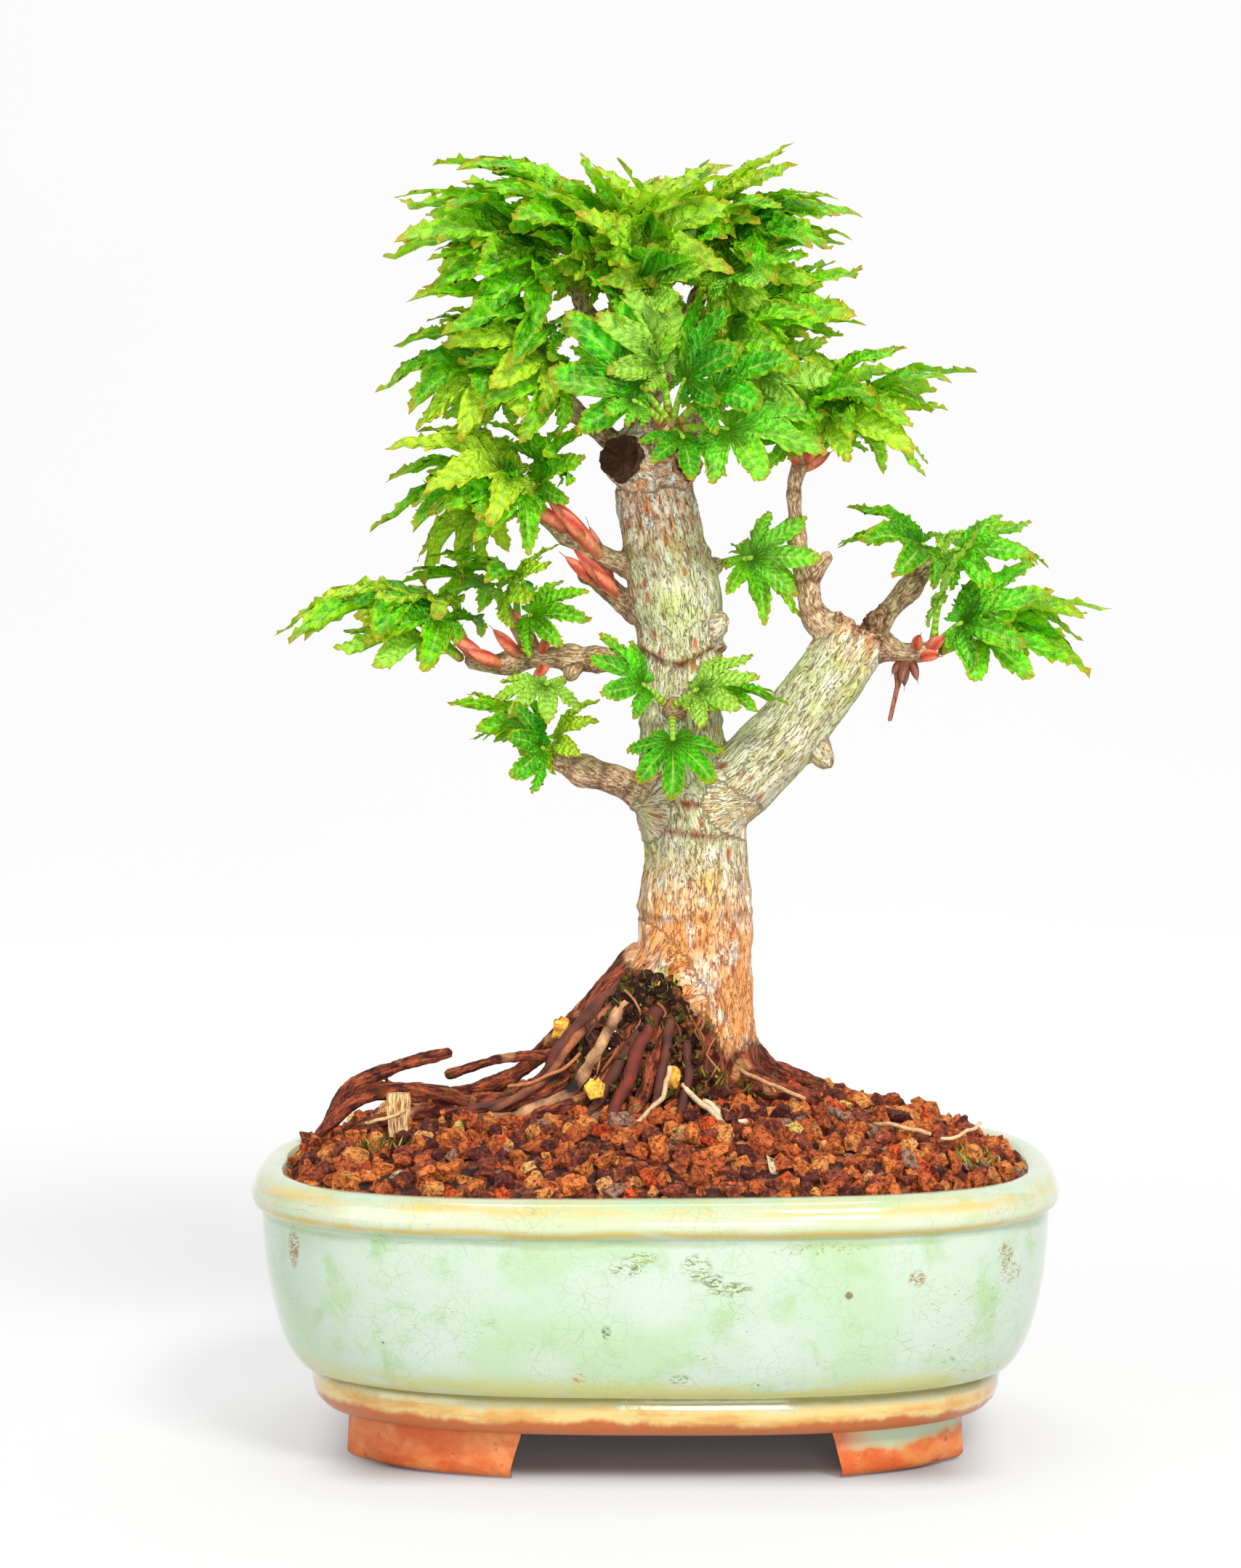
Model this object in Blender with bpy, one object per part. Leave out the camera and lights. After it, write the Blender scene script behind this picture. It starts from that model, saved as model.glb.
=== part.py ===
"""A maple bonsai in a glazed oval pot.

The pot is one fired piece with four cut feet and two drain holes. Each hole is covered by a plastic
screen that a wire clip holds. The soil is mounded over the rim. The tree is one grown piece: trunk,
limb, twigs and surface roots. Each leaf is a piece of its own, blade and stalk together.

Metres, +Z up. The camera side is -Y. The model is laid out with the pot's middle at x = y = 0 and is
moved at the end, so that the origin is under the middle of the whole object's box.
"""

import math

import bmesh
import bpy
from mathutils import Matrix, Vector
from mathutils.bvhtree import BVHTree

MM = 0.001
GAP = 0.35 * MM  # between pieces that touch on the real object

# Pot
POT_LENGTH = 150 * MM  # over the rim
POT_DEPTH = 113 * MM
POT_HEIGHT = 52.5 * MM
PLAN_POWER = 2.9  # the plan's superellipse: 2 is an ellipse, more is squarer
PLAN_SEGMENTS = 40
RIM_HEIGHT = 6.5 * MM
RIM_WIDTH = 6.5 * MM
WALL = 5.5 * MM
FLOOR_THICKNESS = 6 * MM
FOOT_HEIGHT = 8.5 * MM
FOOT_WIDTH = 11 * MM  # from the foot's outside to its inside
FOOT_INSET = 16 * MM  # the feet stand this far inside the rim
BAND_HEIGHT = 7 * MM  # the raised band round the base
BAND_INSET = 11 * MM
BODY_TOP_INSET = 1.6 * MM
FRONT_GAP = (-23.5 * MM, 31.5 * MM)  # the feet's gap along X at its top, left and right
END_GAP = 40 * MM  # the gap between the feet at each end
GAP_SLANT = 2.5 * MM  # how much wider each gap is on the ground
DRAIN_RADIUS = 5.5 * MM
DRAIN_SPACING = 64 * MM

# Drain screens and their clips
SCREEN_SIDE = 20 * MM
SCREEN_THICKNESS = 1 * MM
SCREEN_HOLES = 5  # along each side
SCREEN_BAR = 1.3 * MM
CLIP_WIRE = 1 * MM  # diameter
CLIP_RISE = 1.5 * MM  # the crown's height over the screen

# Soil
SOIL_EDGE_DROP = 1.8 * MM  # the soil's edge below the rim's top
MOUND_HEIGHT = 11 * MM
MOUND_POWER = 3.5  # how flat the mound's top is
TREE_X = 8.5 * MM  # the trunk's foot
ROOT_PLUG_DEPTH = 24 * MM  # how far the buried root crown reaches down
ROOT_PLUG_RADIUS = 10.3 * MM
SOCKET_CLEARANCE = 0.8 * MM

# Tree
TREE_SCALE = 1.0  # of everything above the soil
VOXEL = 0.7 * MM  # the grain at which the grown wood is fused
WOOD_DETAIL = 0.045  # share of the fused wood's faces that are kept
TUBE_SIDES = 10
TUBE_STEP = 2.5 * MM
ROOT_CLEARANCE = 0.6 * MM  # of a surface root over the soil

# Leaves
LEAF_SIZE = 1.0  # of every leaf, about its own seat
LEAF_THICKNESS = 0.014  # of its length, at the veins
STALK_WIDTH = 0.030
TEST_THICKNESS = 0.040  # a thicker leaf keeps its neighbours clear

# Small pieces that lie among the roots
PUMICE_SIZES = (5.5 * MM, 4.2 * MM, 4.6 * MM)
STALK_TUFT_HEIGHT = 8 * MM
STALK_TUFT_RADIUS = 2.6 * MM
DEAD_STALK_LENGTH = 10.5 * MM

POT_FLOOR = FOOT_HEIGHT + FLOOR_THICKNESS
RIM_BOTTOM = POT_HEIGHT - RIM_HEIGHT
WAIST = FOOT_HEIGHT + BAND_HEIGHT
SOIL_EDGE = POT_HEIGHT - SOIL_EDGE_DROP


# ---------------------------------------------------------------- helpers


def clear_scene():
    for obj in list(bpy.data.objects):
        bpy.data.objects.remove(obj)


def material(name, colour, roughness, metallic=0.0):
    made = bpy.data.materials.get(name) or bpy.data.materials.new(name)
    made.use_nodes = True
    shader = made.node_tree.nodes["Principled BSDF"]
    shader.inputs["Base Color"].default_value = (*colour, 1.0)
    shader.inputs["Roughness"].default_value = roughness
    shader.inputs["Metallic"].default_value = metallic
    return made


def face_outwards(mesh):
    bm = bmesh.new()
    bm.from_mesh(mesh)
    bmesh.ops.recalc_face_normals(bm, faces=bm.faces)
    bm.to_mesh(mesh)
    bm.free()


def new_object(name, verts, faces, look, smooth=True):
    mesh = bpy.data.meshes.new(name)
    mesh.from_pydata([tuple(v) for v in verts], [], faces)
    face_outwards(mesh)
    if smooth:
        mesh.shade_smooth()
        mesh.set_sharp_from_angle(angle=math.radians(40))
    obj = bpy.data.objects.new(name, mesh)
    bpy.context.scene.collection.objects.link(obj)
    if look:
        obj.data.materials.append(look)
    return obj


def loft(name, rings, look, smooth=True):
    """A closed solid through rings of points, from the first to the last, with both ends filled."""
    count = len(rings[0])
    verts = [p for ring in rings for p in ring]
    faces = []
    for i in range(len(rings) - 1):
        for k in range(count):
            a, b = i * count + k, i * count + (k + 1) % count
            faces.append((a, b, b + count, a + count))
    faces.append(tuple(reversed(range(count))))
    faces.append(tuple((len(rings) - 1) * count + k for k in range(count)))
    return new_object(name, verts, faces, look, smooth)


def hide_helper(obj):
    obj.hide_render = True
    obj.display_type = "WIRE"
    return obj


def boolean(obj, other, operation):
    """Adds a Boolean modifier and hides the other shape, which is then a helper."""
    modifier = obj.modifiers.new(other.name, "BOOLEAN")
    modifier.object = hide_helper(other)
    modifier.operation = operation
    modifier.solver = "EXACT"


def evaluated_mesh(obj):
    """(points, faces) in world space, after the modifiers."""
    graph = bpy.context.evaluated_depsgraph_get()
    graph.update()
    shown = obj.evaluated_get(graph)
    mesh = shown.to_mesh()
    points = [shown.matrix_world @ v.co for v in mesh.vertices]
    faces = [tuple(p.vertices) for p in mesh.polygons]
    shown.to_mesh_clear()
    return points, faces


def tree_of(points, faces):
    return BVHTree.FromPolygons(points, faces)


# ---------------------------------------------------------------- pot


def plan(inset, z, segments=PLAN_SEGMENTS):
    """The pot's plan outline, this far inside the rim's outermost line, at height z."""
    half_x, half_y = POT_LENGTH / 2 - inset, POT_DEPTH / 2 - inset
    ring = []
    for k in range(segments):
        angle = 2 * math.pi * (k + 0.5) / segments
        c, s = math.cos(angle), math.sin(angle)
        x = half_x * math.copysign(abs(c) ** (2 / PLAN_POWER), c)
        y = half_y * math.copysign(abs(s) ** (2 / PLAN_POWER), s)
        ring.append(Vector((x, y, z)))
    return ring


def belly_inset(z):
    """How far the wall's outside lies inside the rim's outermost line: nearly upright, then tucked in."""
    down = min(1.0, max(0.0, (RIM_BOTTOM - z) / (RIM_BOTTOM - WAIST)))
    return BODY_TOP_INSET + (BAND_INSET - BODY_TOP_INSET) * (1 - math.sqrt(1 - down**2))


def inner_inset(z):
    if z > RIM_BOTTOM:
        return max(RIM_WIDTH, BODY_TOP_INSET + WALL)
    return belly_inset(z) + WALL


def outer_profile():
    """(inset, z) from the middle of the underside's edge, up the band and belly, to the rim's crest."""
    band = [
        (BAND_INSET + 3.4 * MM, FOOT_HEIGHT),
        (BAND_INSET + 1.4 * MM, FOOT_HEIGHT + 0.8 * MM),
        (BAND_INSET, FOOT_HEIGHT + 2.6 * MM),
        (BAND_INSET + 0.1 * MM, WAIST - 1.4 * MM),
        (BAND_INSET + 0.5 * MM, WAIST - 0.3 * MM),
    ]
    belly = []
    steps = 7
    for k in range(steps):
        z = WAIST + (RIM_BOTTOM - WAIST) * (0.035 + 0.965 * (k / (steps - 1)) ** 1.35)
        belly.append((belly_inset(z), z))
    rim = [
        (0.35 * MM, RIM_BOTTOM + 0.8 * MM),
        (0.0, RIM_BOTTOM + 2.6 * MM),
        (0.7 * MM, POT_HEIGHT - 1.3 * MM),
        (2.4 * MM, POT_HEIGHT - 0.2 * MM),
    ]
    return band + belly + rim


def inner_wall():
    """(inset, z) down the wall's inside, from under the rim to the floor."""
    top, steps = RIM_BOTTOM - 2 * MM, 5
    levels = [top + (POT_FLOOR - top) * (k / (steps - 1)) ** 0.7 for k in range(steps)]
    return [(inner_inset(z), z) for z in levels]


def inner_profile():
    """(inset, z) from the rim's crest down the inside to the floor."""
    crest = [
        (RIM_WIDTH - 1.8 * MM, POT_HEIGHT),
        (RIM_WIDTH - 0.3 * MM, POT_HEIGHT - 0.9 * MM),
        (inner_inset(POT_HEIGHT), RIM_BOTTOM + 1 * MM),
    ]
    return crest + inner_wall()


def gap_cutter(name, along, low, high, reach):
    """A channel under the pot, wider on the ground than at its top. along is 0 for one that runs front
    to back and 1 for one that runs end to end."""
    top, bottom = FOOT_HEIGHT + 2 * MM, -1 * MM
    rings = []
    for side in (-reach, reach):
        profile = [
            (low - GAP_SLANT, bottom),
            (high + GAP_SLANT, bottom),
            (high, top),
            (low, top),
        ]
        if along == 0:
            rings.append([Vector((u, side, z)) for u, z in profile])
        else:
            rings.append([Vector((-side, u, z)) for u, z in profile])
    return loft(name, rings, None, smooth=False)


def make_pot(look):
    rings = [plan(inset, z) for inset, z in outer_profile() + inner_profile()]
    pot = loft("pot", rings, look)
    sink = 1 * MM  # the feet overlap the base, so that they fuse
    feet = loft(
        "foot_ring",
        [
            plan(FOOT_INSET - 0.3 * MM, FOOT_HEIGHT + sink),
            plan(FOOT_INSET + FOOT_WIDTH, FOOT_HEIGHT + sink),
            plan(FOOT_INSET + FOOT_WIDTH, 0),
            plan(FOOT_INSET + 1 * MM, 0),
            plan(FOOT_INSET, 1.3 * MM),
        ],
        None,
    )
    close_ring(feet)
    front, end = POT_DEPTH, POT_LENGTH
    boolean(feet, gap_cutter("gap_front", 0, FRONT_GAP[0], FRONT_GAP[1], front), "DIFFERENCE")
    boolean(feet, gap_cutter("gap_ends", 1, -END_GAP / 2, END_GAP / 2, end), "DIFFERENCE")
    boolean(pot, feet, "UNION")
    for side, x in (("left", -DRAIN_SPACING / 2), ("right", DRAIN_SPACING / 2)):
        drill = cylinder(f"drain_drill_{side}", x, 0, FOOT_HEIGHT - 1 * MM, POT_FLOOR + 1 * MM, DRAIN_RADIUS)
        boolean(pot, drill, "DIFFERENCE")
    return pot


def close_ring(obj):
    """Turns a loft whose rings run round a tube's section into a ring: joins the last ring to the first."""
    bm = bmesh.new()
    bm.from_mesh(obj.data)
    ends = [f for f in bm.faces if len(f.verts) == PLAN_SEGMENTS]
    loops = [edge for face in ends for edge in face.edges]
    bmesh.ops.delete(bm, geom=ends, context="FACES_ONLY")
    bmesh.ops.bridge_loops(bm, edges=loops)
    bmesh.ops.recalc_face_normals(bm, faces=bm.faces)
    bm.to_mesh(obj.data)
    bm.free()


def cylinder(name, x, y, low, high, radius, sides=24, look=None):
    def ring(z):
        return [
            Vector((x + radius * math.cos(2 * math.pi * k / sides), y + radius * math.sin(2 * math.pi * k / sides), z))
            for k in range(sides)
        ]

    return loft(name, [ring(low), ring(high)], look)


# ---------------------------------------------------------------- drain screens and clips


def make_screen(name, x, look):
    """A square of plastic mesh on the pot's floor: bars along X and Y, one closed solid of square holes."""
    low, high = POT_FLOOR + GAP, POT_FLOOR + GAP + SCREEN_THICKNESS
    hole = (SCREEN_SIDE - SCREEN_BAR * (SCREEN_HOLES + 1)) / SCREEN_HOLES
    lines = []
    at = -SCREEN_SIDE / 2
    for k in range(SCREEN_HOLES + 1):
        lines += [at, at + SCREEN_BAR]
        at += SCREEN_BAR + hole
    count = len(lines)
    verts = [Vector((x + u, v, z)) for z in (low, high) for v in lines for u in lines]
    layer = count * count

    def solid(i, j):
        inside = 0 <= i < count - 1 and 0 <= j < count - 1
        return inside and not (i % 2 and j % 2)

    def at_grid(i, j, k):
        return k * layer + j * count + i

    faces = []
    for i in range(count - 1):
        for j in range(count - 1):
            if not solid(i, j):
                continue
            corners = [(i, j), (i + 1, j), (i + 1, j + 1), (i, j + 1)]
            faces.append(tuple(at_grid(a, b, 1) for a, b in corners))
            faces.append(tuple(at_grid(a, b, 0) for a, b in reversed(corners)))
            for (a, b), (c, d), (di, dj) in (
                (corners[0], corners[1], (0, -1)),
                (corners[1], corners[2], (1, 0)),
                (corners[2], corners[3], (0, 1)),
                (corners[3], corners[0], (-1, 0)),
            ):
                if not solid(i + di, j + dj):
                    faces.append((at_grid(a, b, 0), at_grid(c, d, 0), at_grid(c, d, 1), at_grid(a, b, 1)))
    return new_object(name, verts, faces, look, smooth=False)


def make_clip(name, x, look):
    """A wire staple: its crown lies over the screen, its legs pass two screen holes and the drain hole,
    and their ends turn outwards under the base."""
    pitch = (SCREEN_SIDE - SCREEN_BAR) / SCREEN_HOLES
    leg = pitch  # one hole either side of the middle one
    crown = POT_FLOOR + GAP + SCREEN_THICKNESS + GAP + CLIP_WIRE / 2
    under = FOOT_HEIGHT - GAP - CLIP_WIRE / 2
    bend = 1.1 * MM
    half = [
        (0.0, crown + CLIP_RISE - CLIP_WIRE),
        (leg - bend, crown + CLIP_RISE - CLIP_WIRE),
        (leg, crown + CLIP_RISE - CLIP_WIRE - bend),
        (leg, under + bend),
        (leg + bend, under),
        (leg + DRAIN_RADIUS, under),
    ]
    points = [(-u, z) for u, z in reversed(half)] + half[1:]
    return wire(name, [Vector((x + u, 0, z)) for u, z in points], CLIP_WIRE / 2, look)


def wire(name, points, radius, look):
    curve = bpy.data.curves.new(name, "CURVE")
    curve.dimensions = "3D"
    curve.bevel_depth = radius
    curve.bevel_resolution = 1
    curve.use_fill_caps = True
    spline = curve.splines.new("POLY")
    spline.points.add(len(points) - 1)
    for target, p in zip(spline.points, points):
        target.co = (*p, 1.0)
    curve.materials.append(look)
    obj = bpy.data.objects.new(name, curve)
    bpy.context.scene.collection.objects.link(obj)
    return obj


# ---------------------------------------------------------------- soil


def soil_height(x, y):
    """The soil's top: level with its edge at the wall, mounded towards the middle."""
    inset = inner_inset(SOIL_EDGE) + GAP
    half_x, half_y = POT_LENGTH / 2 - inset, POT_DEPTH / 2 - inset
    out = (abs(x / half_x) ** PLAN_POWER + abs(y / half_y) ** PLAN_POWER) ** (1 / PLAN_POWER)
    return SOIL_EDGE + MOUND_HEIGHT * (1 - min(1.0, out) ** MOUND_POWER)


def make_soil(look):
    floor = POT_FLOOR + GAP
    clear = GAP * 2
    rings = [plan(inset + clear, max(z, floor)) for inset, z in reversed(inner_wall())]
    edge = inner_inset(SOIL_EDGE) + clear
    rings.append(plan(edge, SOIL_EDGE))
    outline = plan(edge, 0)
    for share in (0.94, 0.82, 0.66, 0.46, 0.24):
        ring = [Vector((p.x * share, p.y * share, 0)) for p in outline]
        rings.append([Vector((p.x, p.y, soil_height(p.x, p.y))) for p in ring])
    soil = loft("soil", rings, look)
    bottom = root_plug_bottom() - SOCKET_CLEARANCE
    socket = cylinder(
        "root_socket", TREE_X, 0, bottom, POT_HEIGHT + 2 * MOUND_HEIGHT, ROOT_PLUG_RADIUS + SOCKET_CLEARANCE
    )
    boolean(soil, socket, "DIFFERENCE")
    pocket_top = POT_FLOOR + GAP + SCREEN_THICKNESS + CLIP_RISE + CLIP_WIRE + 2 * GAP
    reach = SCREEN_SIDE / 2 + GAP
    for side, x in (("left", -DRAIN_SPACING / 2), ("right", DRAIN_SPACING / 2)):
        corners = [(-reach, -reach), (reach, -reach), (reach, reach), (-reach, reach)]
        pocket = loft(
            f"screen_pocket_{side}",
            [[Vector((x + u, v, z)) for u, v in corners] for z in (floor - 1 * MM, pocket_top)],
            None,
            smooth=False,
        )
        boolean(soil, pocket, "DIFFERENCE")
    return soil


def root_plug_bottom():
    return soil_height(TREE_X, 0) - ROOT_PLUG_DEPTH


# ---------------------------------------------------------------- tree

# Points are (x, y, z, radius) in millimetres, heights over the ground the pot stands on.
TRUNK = [
    (8.5, 0, 60, 10.6),
    (8.4, 0, 66, 10.9),
    (7.4, 0, 78, 10.8),
    (7.4, 0, 94, 10.7),
    (7.6, 0, 104, 9.8),
    (6.6, 0, 113, 10.4),
    (4.9, 0, 121, 8.2),
    (4.7, 0, 132, 7.6),
    (4.6, 0.3, 142, 8.0),
    (3.6, 0.5, 152, 8.8),
    (1.4, 0.6, 163, 7.8),
    (-0.6, 0.6, 174, 7.2),
    (-1.3, 0.8, 180, 6.9),
    (-1.4, 1.2, 182.5, 5.6),
]
LIMB = [
    (8.5, 0, 112, 7.0),
    (13.5, -0.5, 115.5, 7.2),
    (18.5, -1, 120.5, 7.0),
    (24, -1.4, 126, 6.8),
    (29.5, -1.5, 133.2, 6.7),
    (34.5, -1.4, 140.2, 6.6),
    (38.2, -1.2, 146.2, 6.5),
]
STUBS = {
    "front_stub": [(-1, 1, 174, 5.0), (-4.6, -4, 176.6, 4.0), (-6.7, -8.6, 177.8, 3.6)],
    "side_stub": [(1, 0, 173.5, 4.4), (4.4, -4.6, 175.4, 3.2), (6.0, -7.8, 176.6, 2.9)],
    "limb_knob": [(29.5, -2, 124.5, 3.2), (31.6, -2.6, 121.2, 2.1)],
    "limb_spur": [(32.5, -2, 142, 3.0), (30.2, -3.2, 141.2, 2.0)],
    "trunk_scar": [(10.5, -2.5, 146.5, 3.4), (12.2, -2.5, 147.5, 2.2)],
    "collar_left": [(2, -2, 112.5, 7.6), (-0.6, -2.5, 112.6, 4.2)],
    "collar_right": [(11, -3, 112.5, 7.0), (15.4, -3, 113.4, 4.6)],
}
TWIGS = {
    "leader": [(-1.5, 2, 180, 4.2), (-2.5, 3.5, 189, 3.0), (-3.4, 2.2, 197, 2.5), (-5.7, -1.5, 203, 2.1)],
    "top_right": [(-2.4, 3.5, 187, 2.6), (3.0, 6.5, 195, 2.3), (6.2, 7.4, 203, 2.0), (8, 6.4, 209, 1.9)],
    "top_left": [(-2.8, 3.2, 190, 2.5), (-8.5, 4.6, 197, 2.2), (-12.6, 3.6, 204, 2.0), (-14.5, 2, 209, 1.9)],
    "top_back": [(-2.2, 4, 184, 2.6), (-2.6, 9.6, 190, 2.2), (-2, 13, 197, 1.9)],
    "mid_right": [(1.5, 1, 178, 3.0), (6.4, 0.6, 183.5, 2.4), (10.4, 0.2, 187.4, 2.0), (13.4, 0, 191, 1.9)],
    "mid_left": [(-4, 1.5, 177, 3.0), (-10, 1.6, 182.6, 2.3), (-15, 0.8, 186.4, 2.0), (-19, 0, 190, 1.9)],
    "front": [(0, -2, 178, 3.0), (1.6, -6.6, 180.6, 2.2), (3, -10, 183.4, 1.9)],
    "limb_upright": [
        (33.2, -1.6, 143.5, 2.9),
        (29.2, -1.6, 149.5, 2.4),
        (28.2, -1.4, 154.5, 2.5),
        (26.6, -1.2, 160.5, 1.9),
        (25.9, -1, 167, 1.5),
        (25.8, -1, 173, 1.6),
        (27.4, -1.4, 178, 1.9),
    ],
    "limb_upright_spur": [(28.4, -1.4, 155, 2.2), (31.0, -2, 158.2, 1.6), (32.0, -2, 159.6, 1.4)],
    "limb_right": [(40.5, -0.8, 146, 3.0), (44.6, 0.4, 150.6, 2.3), (48.6, 1.4, 155, 2.0), (52, 2, 158.6, 1.8)],
    "limb_low": [(41.5, -2, 143, 3.0), (46.2, -2.8, 141.6, 2.3), (51, -3, 142, 2.1)],
    "left_high": [(-4.5, -1, 157.5, 2.8), (-10.4, -2, 160, 2.1), (-15.4, -2.8, 163, 1.9), (-21, -3, 167.4, 1.8)],
    "left_back": [(-3, 3, 148.7, 3.0), (-8.4, 4.4, 153.2, 2.4), (-13, 5.2, 157, 2.1)],
    "left_level": [
        (0, -1, 140.3, 3.4),
        (-6, -1, 140.3, 2.3),
        (-12, -1, 140.4, 2.2),
        (-15.4, -1.2, 140.8, 2.9),
        (-19, -1.2, 140.8, 2.2),
        (-24, -1, 140.6, 2.3),
        (-29, -1, 139.4, 2.1),
        (-34.4, -1.4, 140.4, 2.1),
    ],
    "left_level_rise": [(-22, -1, 140.8, 2.1), (-24.4, 0, 144, 1.9), (-26, 0.8, 147, 1.8)],
    "left_level_drop": [(-14.6, -1.2, 140, 2.2), (-16, -2.6, 137.4, 1.8)],
    "left_low": [(1, -2, 113.5, 5.0), (-6, -3, 117.4, 3.3), (-13, -4, 119.6, 2.8), (-19, -4.6, 122, 2.1)],
    "trunk_bud": [(4, -6, 131, 2.6), (3, -9.6, 131.6, 1.9)],
    "right_bud": [(8, 2, 156, 3.0), (11.5, 4.2, 158, 2.0)],
}
ROOTS = {
    "root_long": [
        (0, -1, 84, 4.2),
        (-7.4, -3, 79.6, 2.3),
        (-13, -5, 73, 1.9),
        (-17.4, -6.4, 66, 1.7),
        (-24, -8, 60, 1.6),
        (-35, -10, 58, 1.5),
        (-47, -11, 56, 1.4),
        (-57, -10, 53, 1.3),
    ],
    "root_long_twin": [
        (-1, -4, 83, 3.0),
        (-8.4, -8, 77, 1.5),
        (-12.4, -9, 68, 1.5),
        (-18, -11, 62, 1.4),
        (-28, -14, 58, 1.4),
        (-38, -15, 57, 1.2),
    ],
    "root_back_left": [(-2, 4, 84, 4.0), (-12, 6, 75, 2.2), (-20, 8, 67, 1.8), (-29, 9, 60, 1.6), (-42, 8, 57, 1.4)],
    "root_stilt_1": [
        (1, -7, 81, 2.6),
        (-4.4, -11, 72, 1.4),
        (-7.8, -13, 65, 1.4),
        (-13, -16, 60, 1.3),
        (-22, -19, 57, 1.1),
    ],
    "root_stilt_2": [(3, -9, 76, 2.0), (0.4, -13, 70, 1.5), (-1.6, -16, 62, 1.5), (-4, -20, 58, 1.3)],
    "root_right": [(14, -3, 64, 4.2), (20, -5, 61, 2.4), (24.5, -6, 60, 1.8), (30, -6.6, 58.6, 1.3)],
    "root_back": [(7, 6, 72, 4.4), (8, 14, 64, 2.8), (12, 24, 58, 1.6)],
    "root_back_right": [(13, 5, 70, 4.2), (21, 11, 62, 2.6), (32, 17, 58, 1.5)],
    "root_back_far": [(-1, 7, 74, 4.0), (-8, 15, 63, 2.4), (-18, 24, 58, 1.5)],
    "root_arch": [
        (-34, -11, 58.6, 1.4),
        (-41, -12, 60.6, 1.5),
        (-49, -12.6, 61, 1.5),
        (-56, -13, 58.6, 1.4),
        (-62, -13, 53, 1.3),
    ],
    "root_free": [(-60, -12, 55, 1.5), (-56.4, -12.6, 61.6, 1.3), (-46, -13, 66, 1.2), (-38, -13, 68, 1.1)],
    "root_thin": [(-15, -6.4, 67, 1.3), (-28, -8, 66.4, 1.0), (-38.5, -9, 63.4, 1.0)],
    "root_core_left": [(3, 0, 79, 6.6), (0, -1, 72, 6.2), (-3, -1, 64, 6.4)],
    "root_core_front": [(3.4, -2.6, 72, 6.8), (3.4, -4, 64, 8.2)],
}
BUD_RADIUS = 2.1

# Where each shoot ends, by the twig that carries it. Leaves start there.
SHOOTS = {
    "A": ("leader", 3),
    "B": ("top_right", 3),
    "C": ("top_left", 3),
    "K": ("top_back", 2),
    "D": ("mid_right", 3),
    "E": ("mid_left", 3),
    "F": ("front", 2),
    "G": ("limb_upright", 6),
    "H": ("limb_right", 3),
    "I": ("limb_low", 2),
    "P": ("left_high", 3),
    "Q": ("left_level", 7),
    "R": ("left_level_rise", 2),
    "S": ("left_level_drop", 1),
    "T": ("left_low", 3),
    "N": ("trunk_bud", 1),
    "M": ("right_bud", 1),
}


def on_tree(x, y, z):
    """A point of the tree in metres, scaled about the trunk's foot at the soil's surface."""
    foot = Vector((TREE_X, 0, soil_height(TREE_X, 0)))
    listed_foot = Vector((8.5, 0, 56.5))
    return foot + (Vector((x, y, z)) - listed_foot) * MM * TREE_SCALE


def smooth_path(points, step):
    """Catmull-Rom through (position, radius) points, sampled about every step."""
    ends = [points[0]] + points + [points[-1]]
    out = []
    for i in range(1, len(ends) - 2):
        p0, p1, p2, p3 = (ends[i + k][0] for k in (-1, 0, 1, 2))
        r1, r2 = ends[i][1], ends[i + 1][1]
        pieces = max(1, round((p2 - p1).length / step))
        for k in range(pieces):
            t = k / pieces
            place = 0.5 * (
                2 * p1 + (p2 - p0) * t + (2 * p0 - 5 * p1 + 4 * p2 - p3) * t * t + (3 * p1 - p0 - 3 * p2 + p3) * t**3
            )
            out.append((place, r1 + (r2 - r1) * (3 * t * t - 2 * t**3)))
    return out + [points[-1]]


def tube(path, sides=TUBE_SIDES):
    """(points, faces) of a closed tube along a path of (position, radius), with domed ends."""
    first, last = path[0], path[-1]
    out_first = (first[0] - path[1][0]).normalized()
    out_last = (last[0] - path[-2][0]).normalized()
    dome = 0.6
    full = [(first[0] + out_first * first[1] * dome, first[1] * 0.5)] + path
    full += [(last[0] + out_last * last[1] * dome, last[1] * 0.5)]
    verts, faces = [], []
    across = Vector((0, 1, 0))
    for i, (place, radius) in enumerate(full):
        ahead = (full[min(i + 1, len(full) - 1)][0] - full[max(i - 1, 0)][0]).normalized()
        across = (across - ahead * across.dot(ahead)).normalized()
        other = ahead.cross(across)
        for k in range(sides):
            angle = 2 * math.pi * k / sides
            verts.append(place + (across * math.cos(angle) + other * math.sin(angle)) * radius)
    for i in range(len(full) - 1):
        for k in range(sides):
            a, b = i * sides + k, i * sides + (k + 1) % sides
            faces.append((a, b, b + sides, a + sides))
    faces.append(tuple(reversed(range(sides))))
    faces.append(tuple((len(full) - 1) * sides + k for k in range(sides)))
    return verts, faces


def wood_path(points, over_soil=False):
    path = []
    for x, y, z, radius in points:
        place, r = on_tree(x, y, z), radius * MM * TREE_SCALE
        if over_soil:
            lowest = soil_height(place.x, place.y) + r + ROOT_CLEARANCE
            place.z = max(place.z, lowest)
        path.append((place, r))
    if not over_soil:
        return smooth_path(path, TUBE_STEP)
    fine = smooth_path(path, TUBE_STEP)
    return [(Vector((p.x, p.y, max(p.z, soil_height(p.x, p.y) + r + ROOT_CLEARANCE))), r) for p, r in fine]


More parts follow.
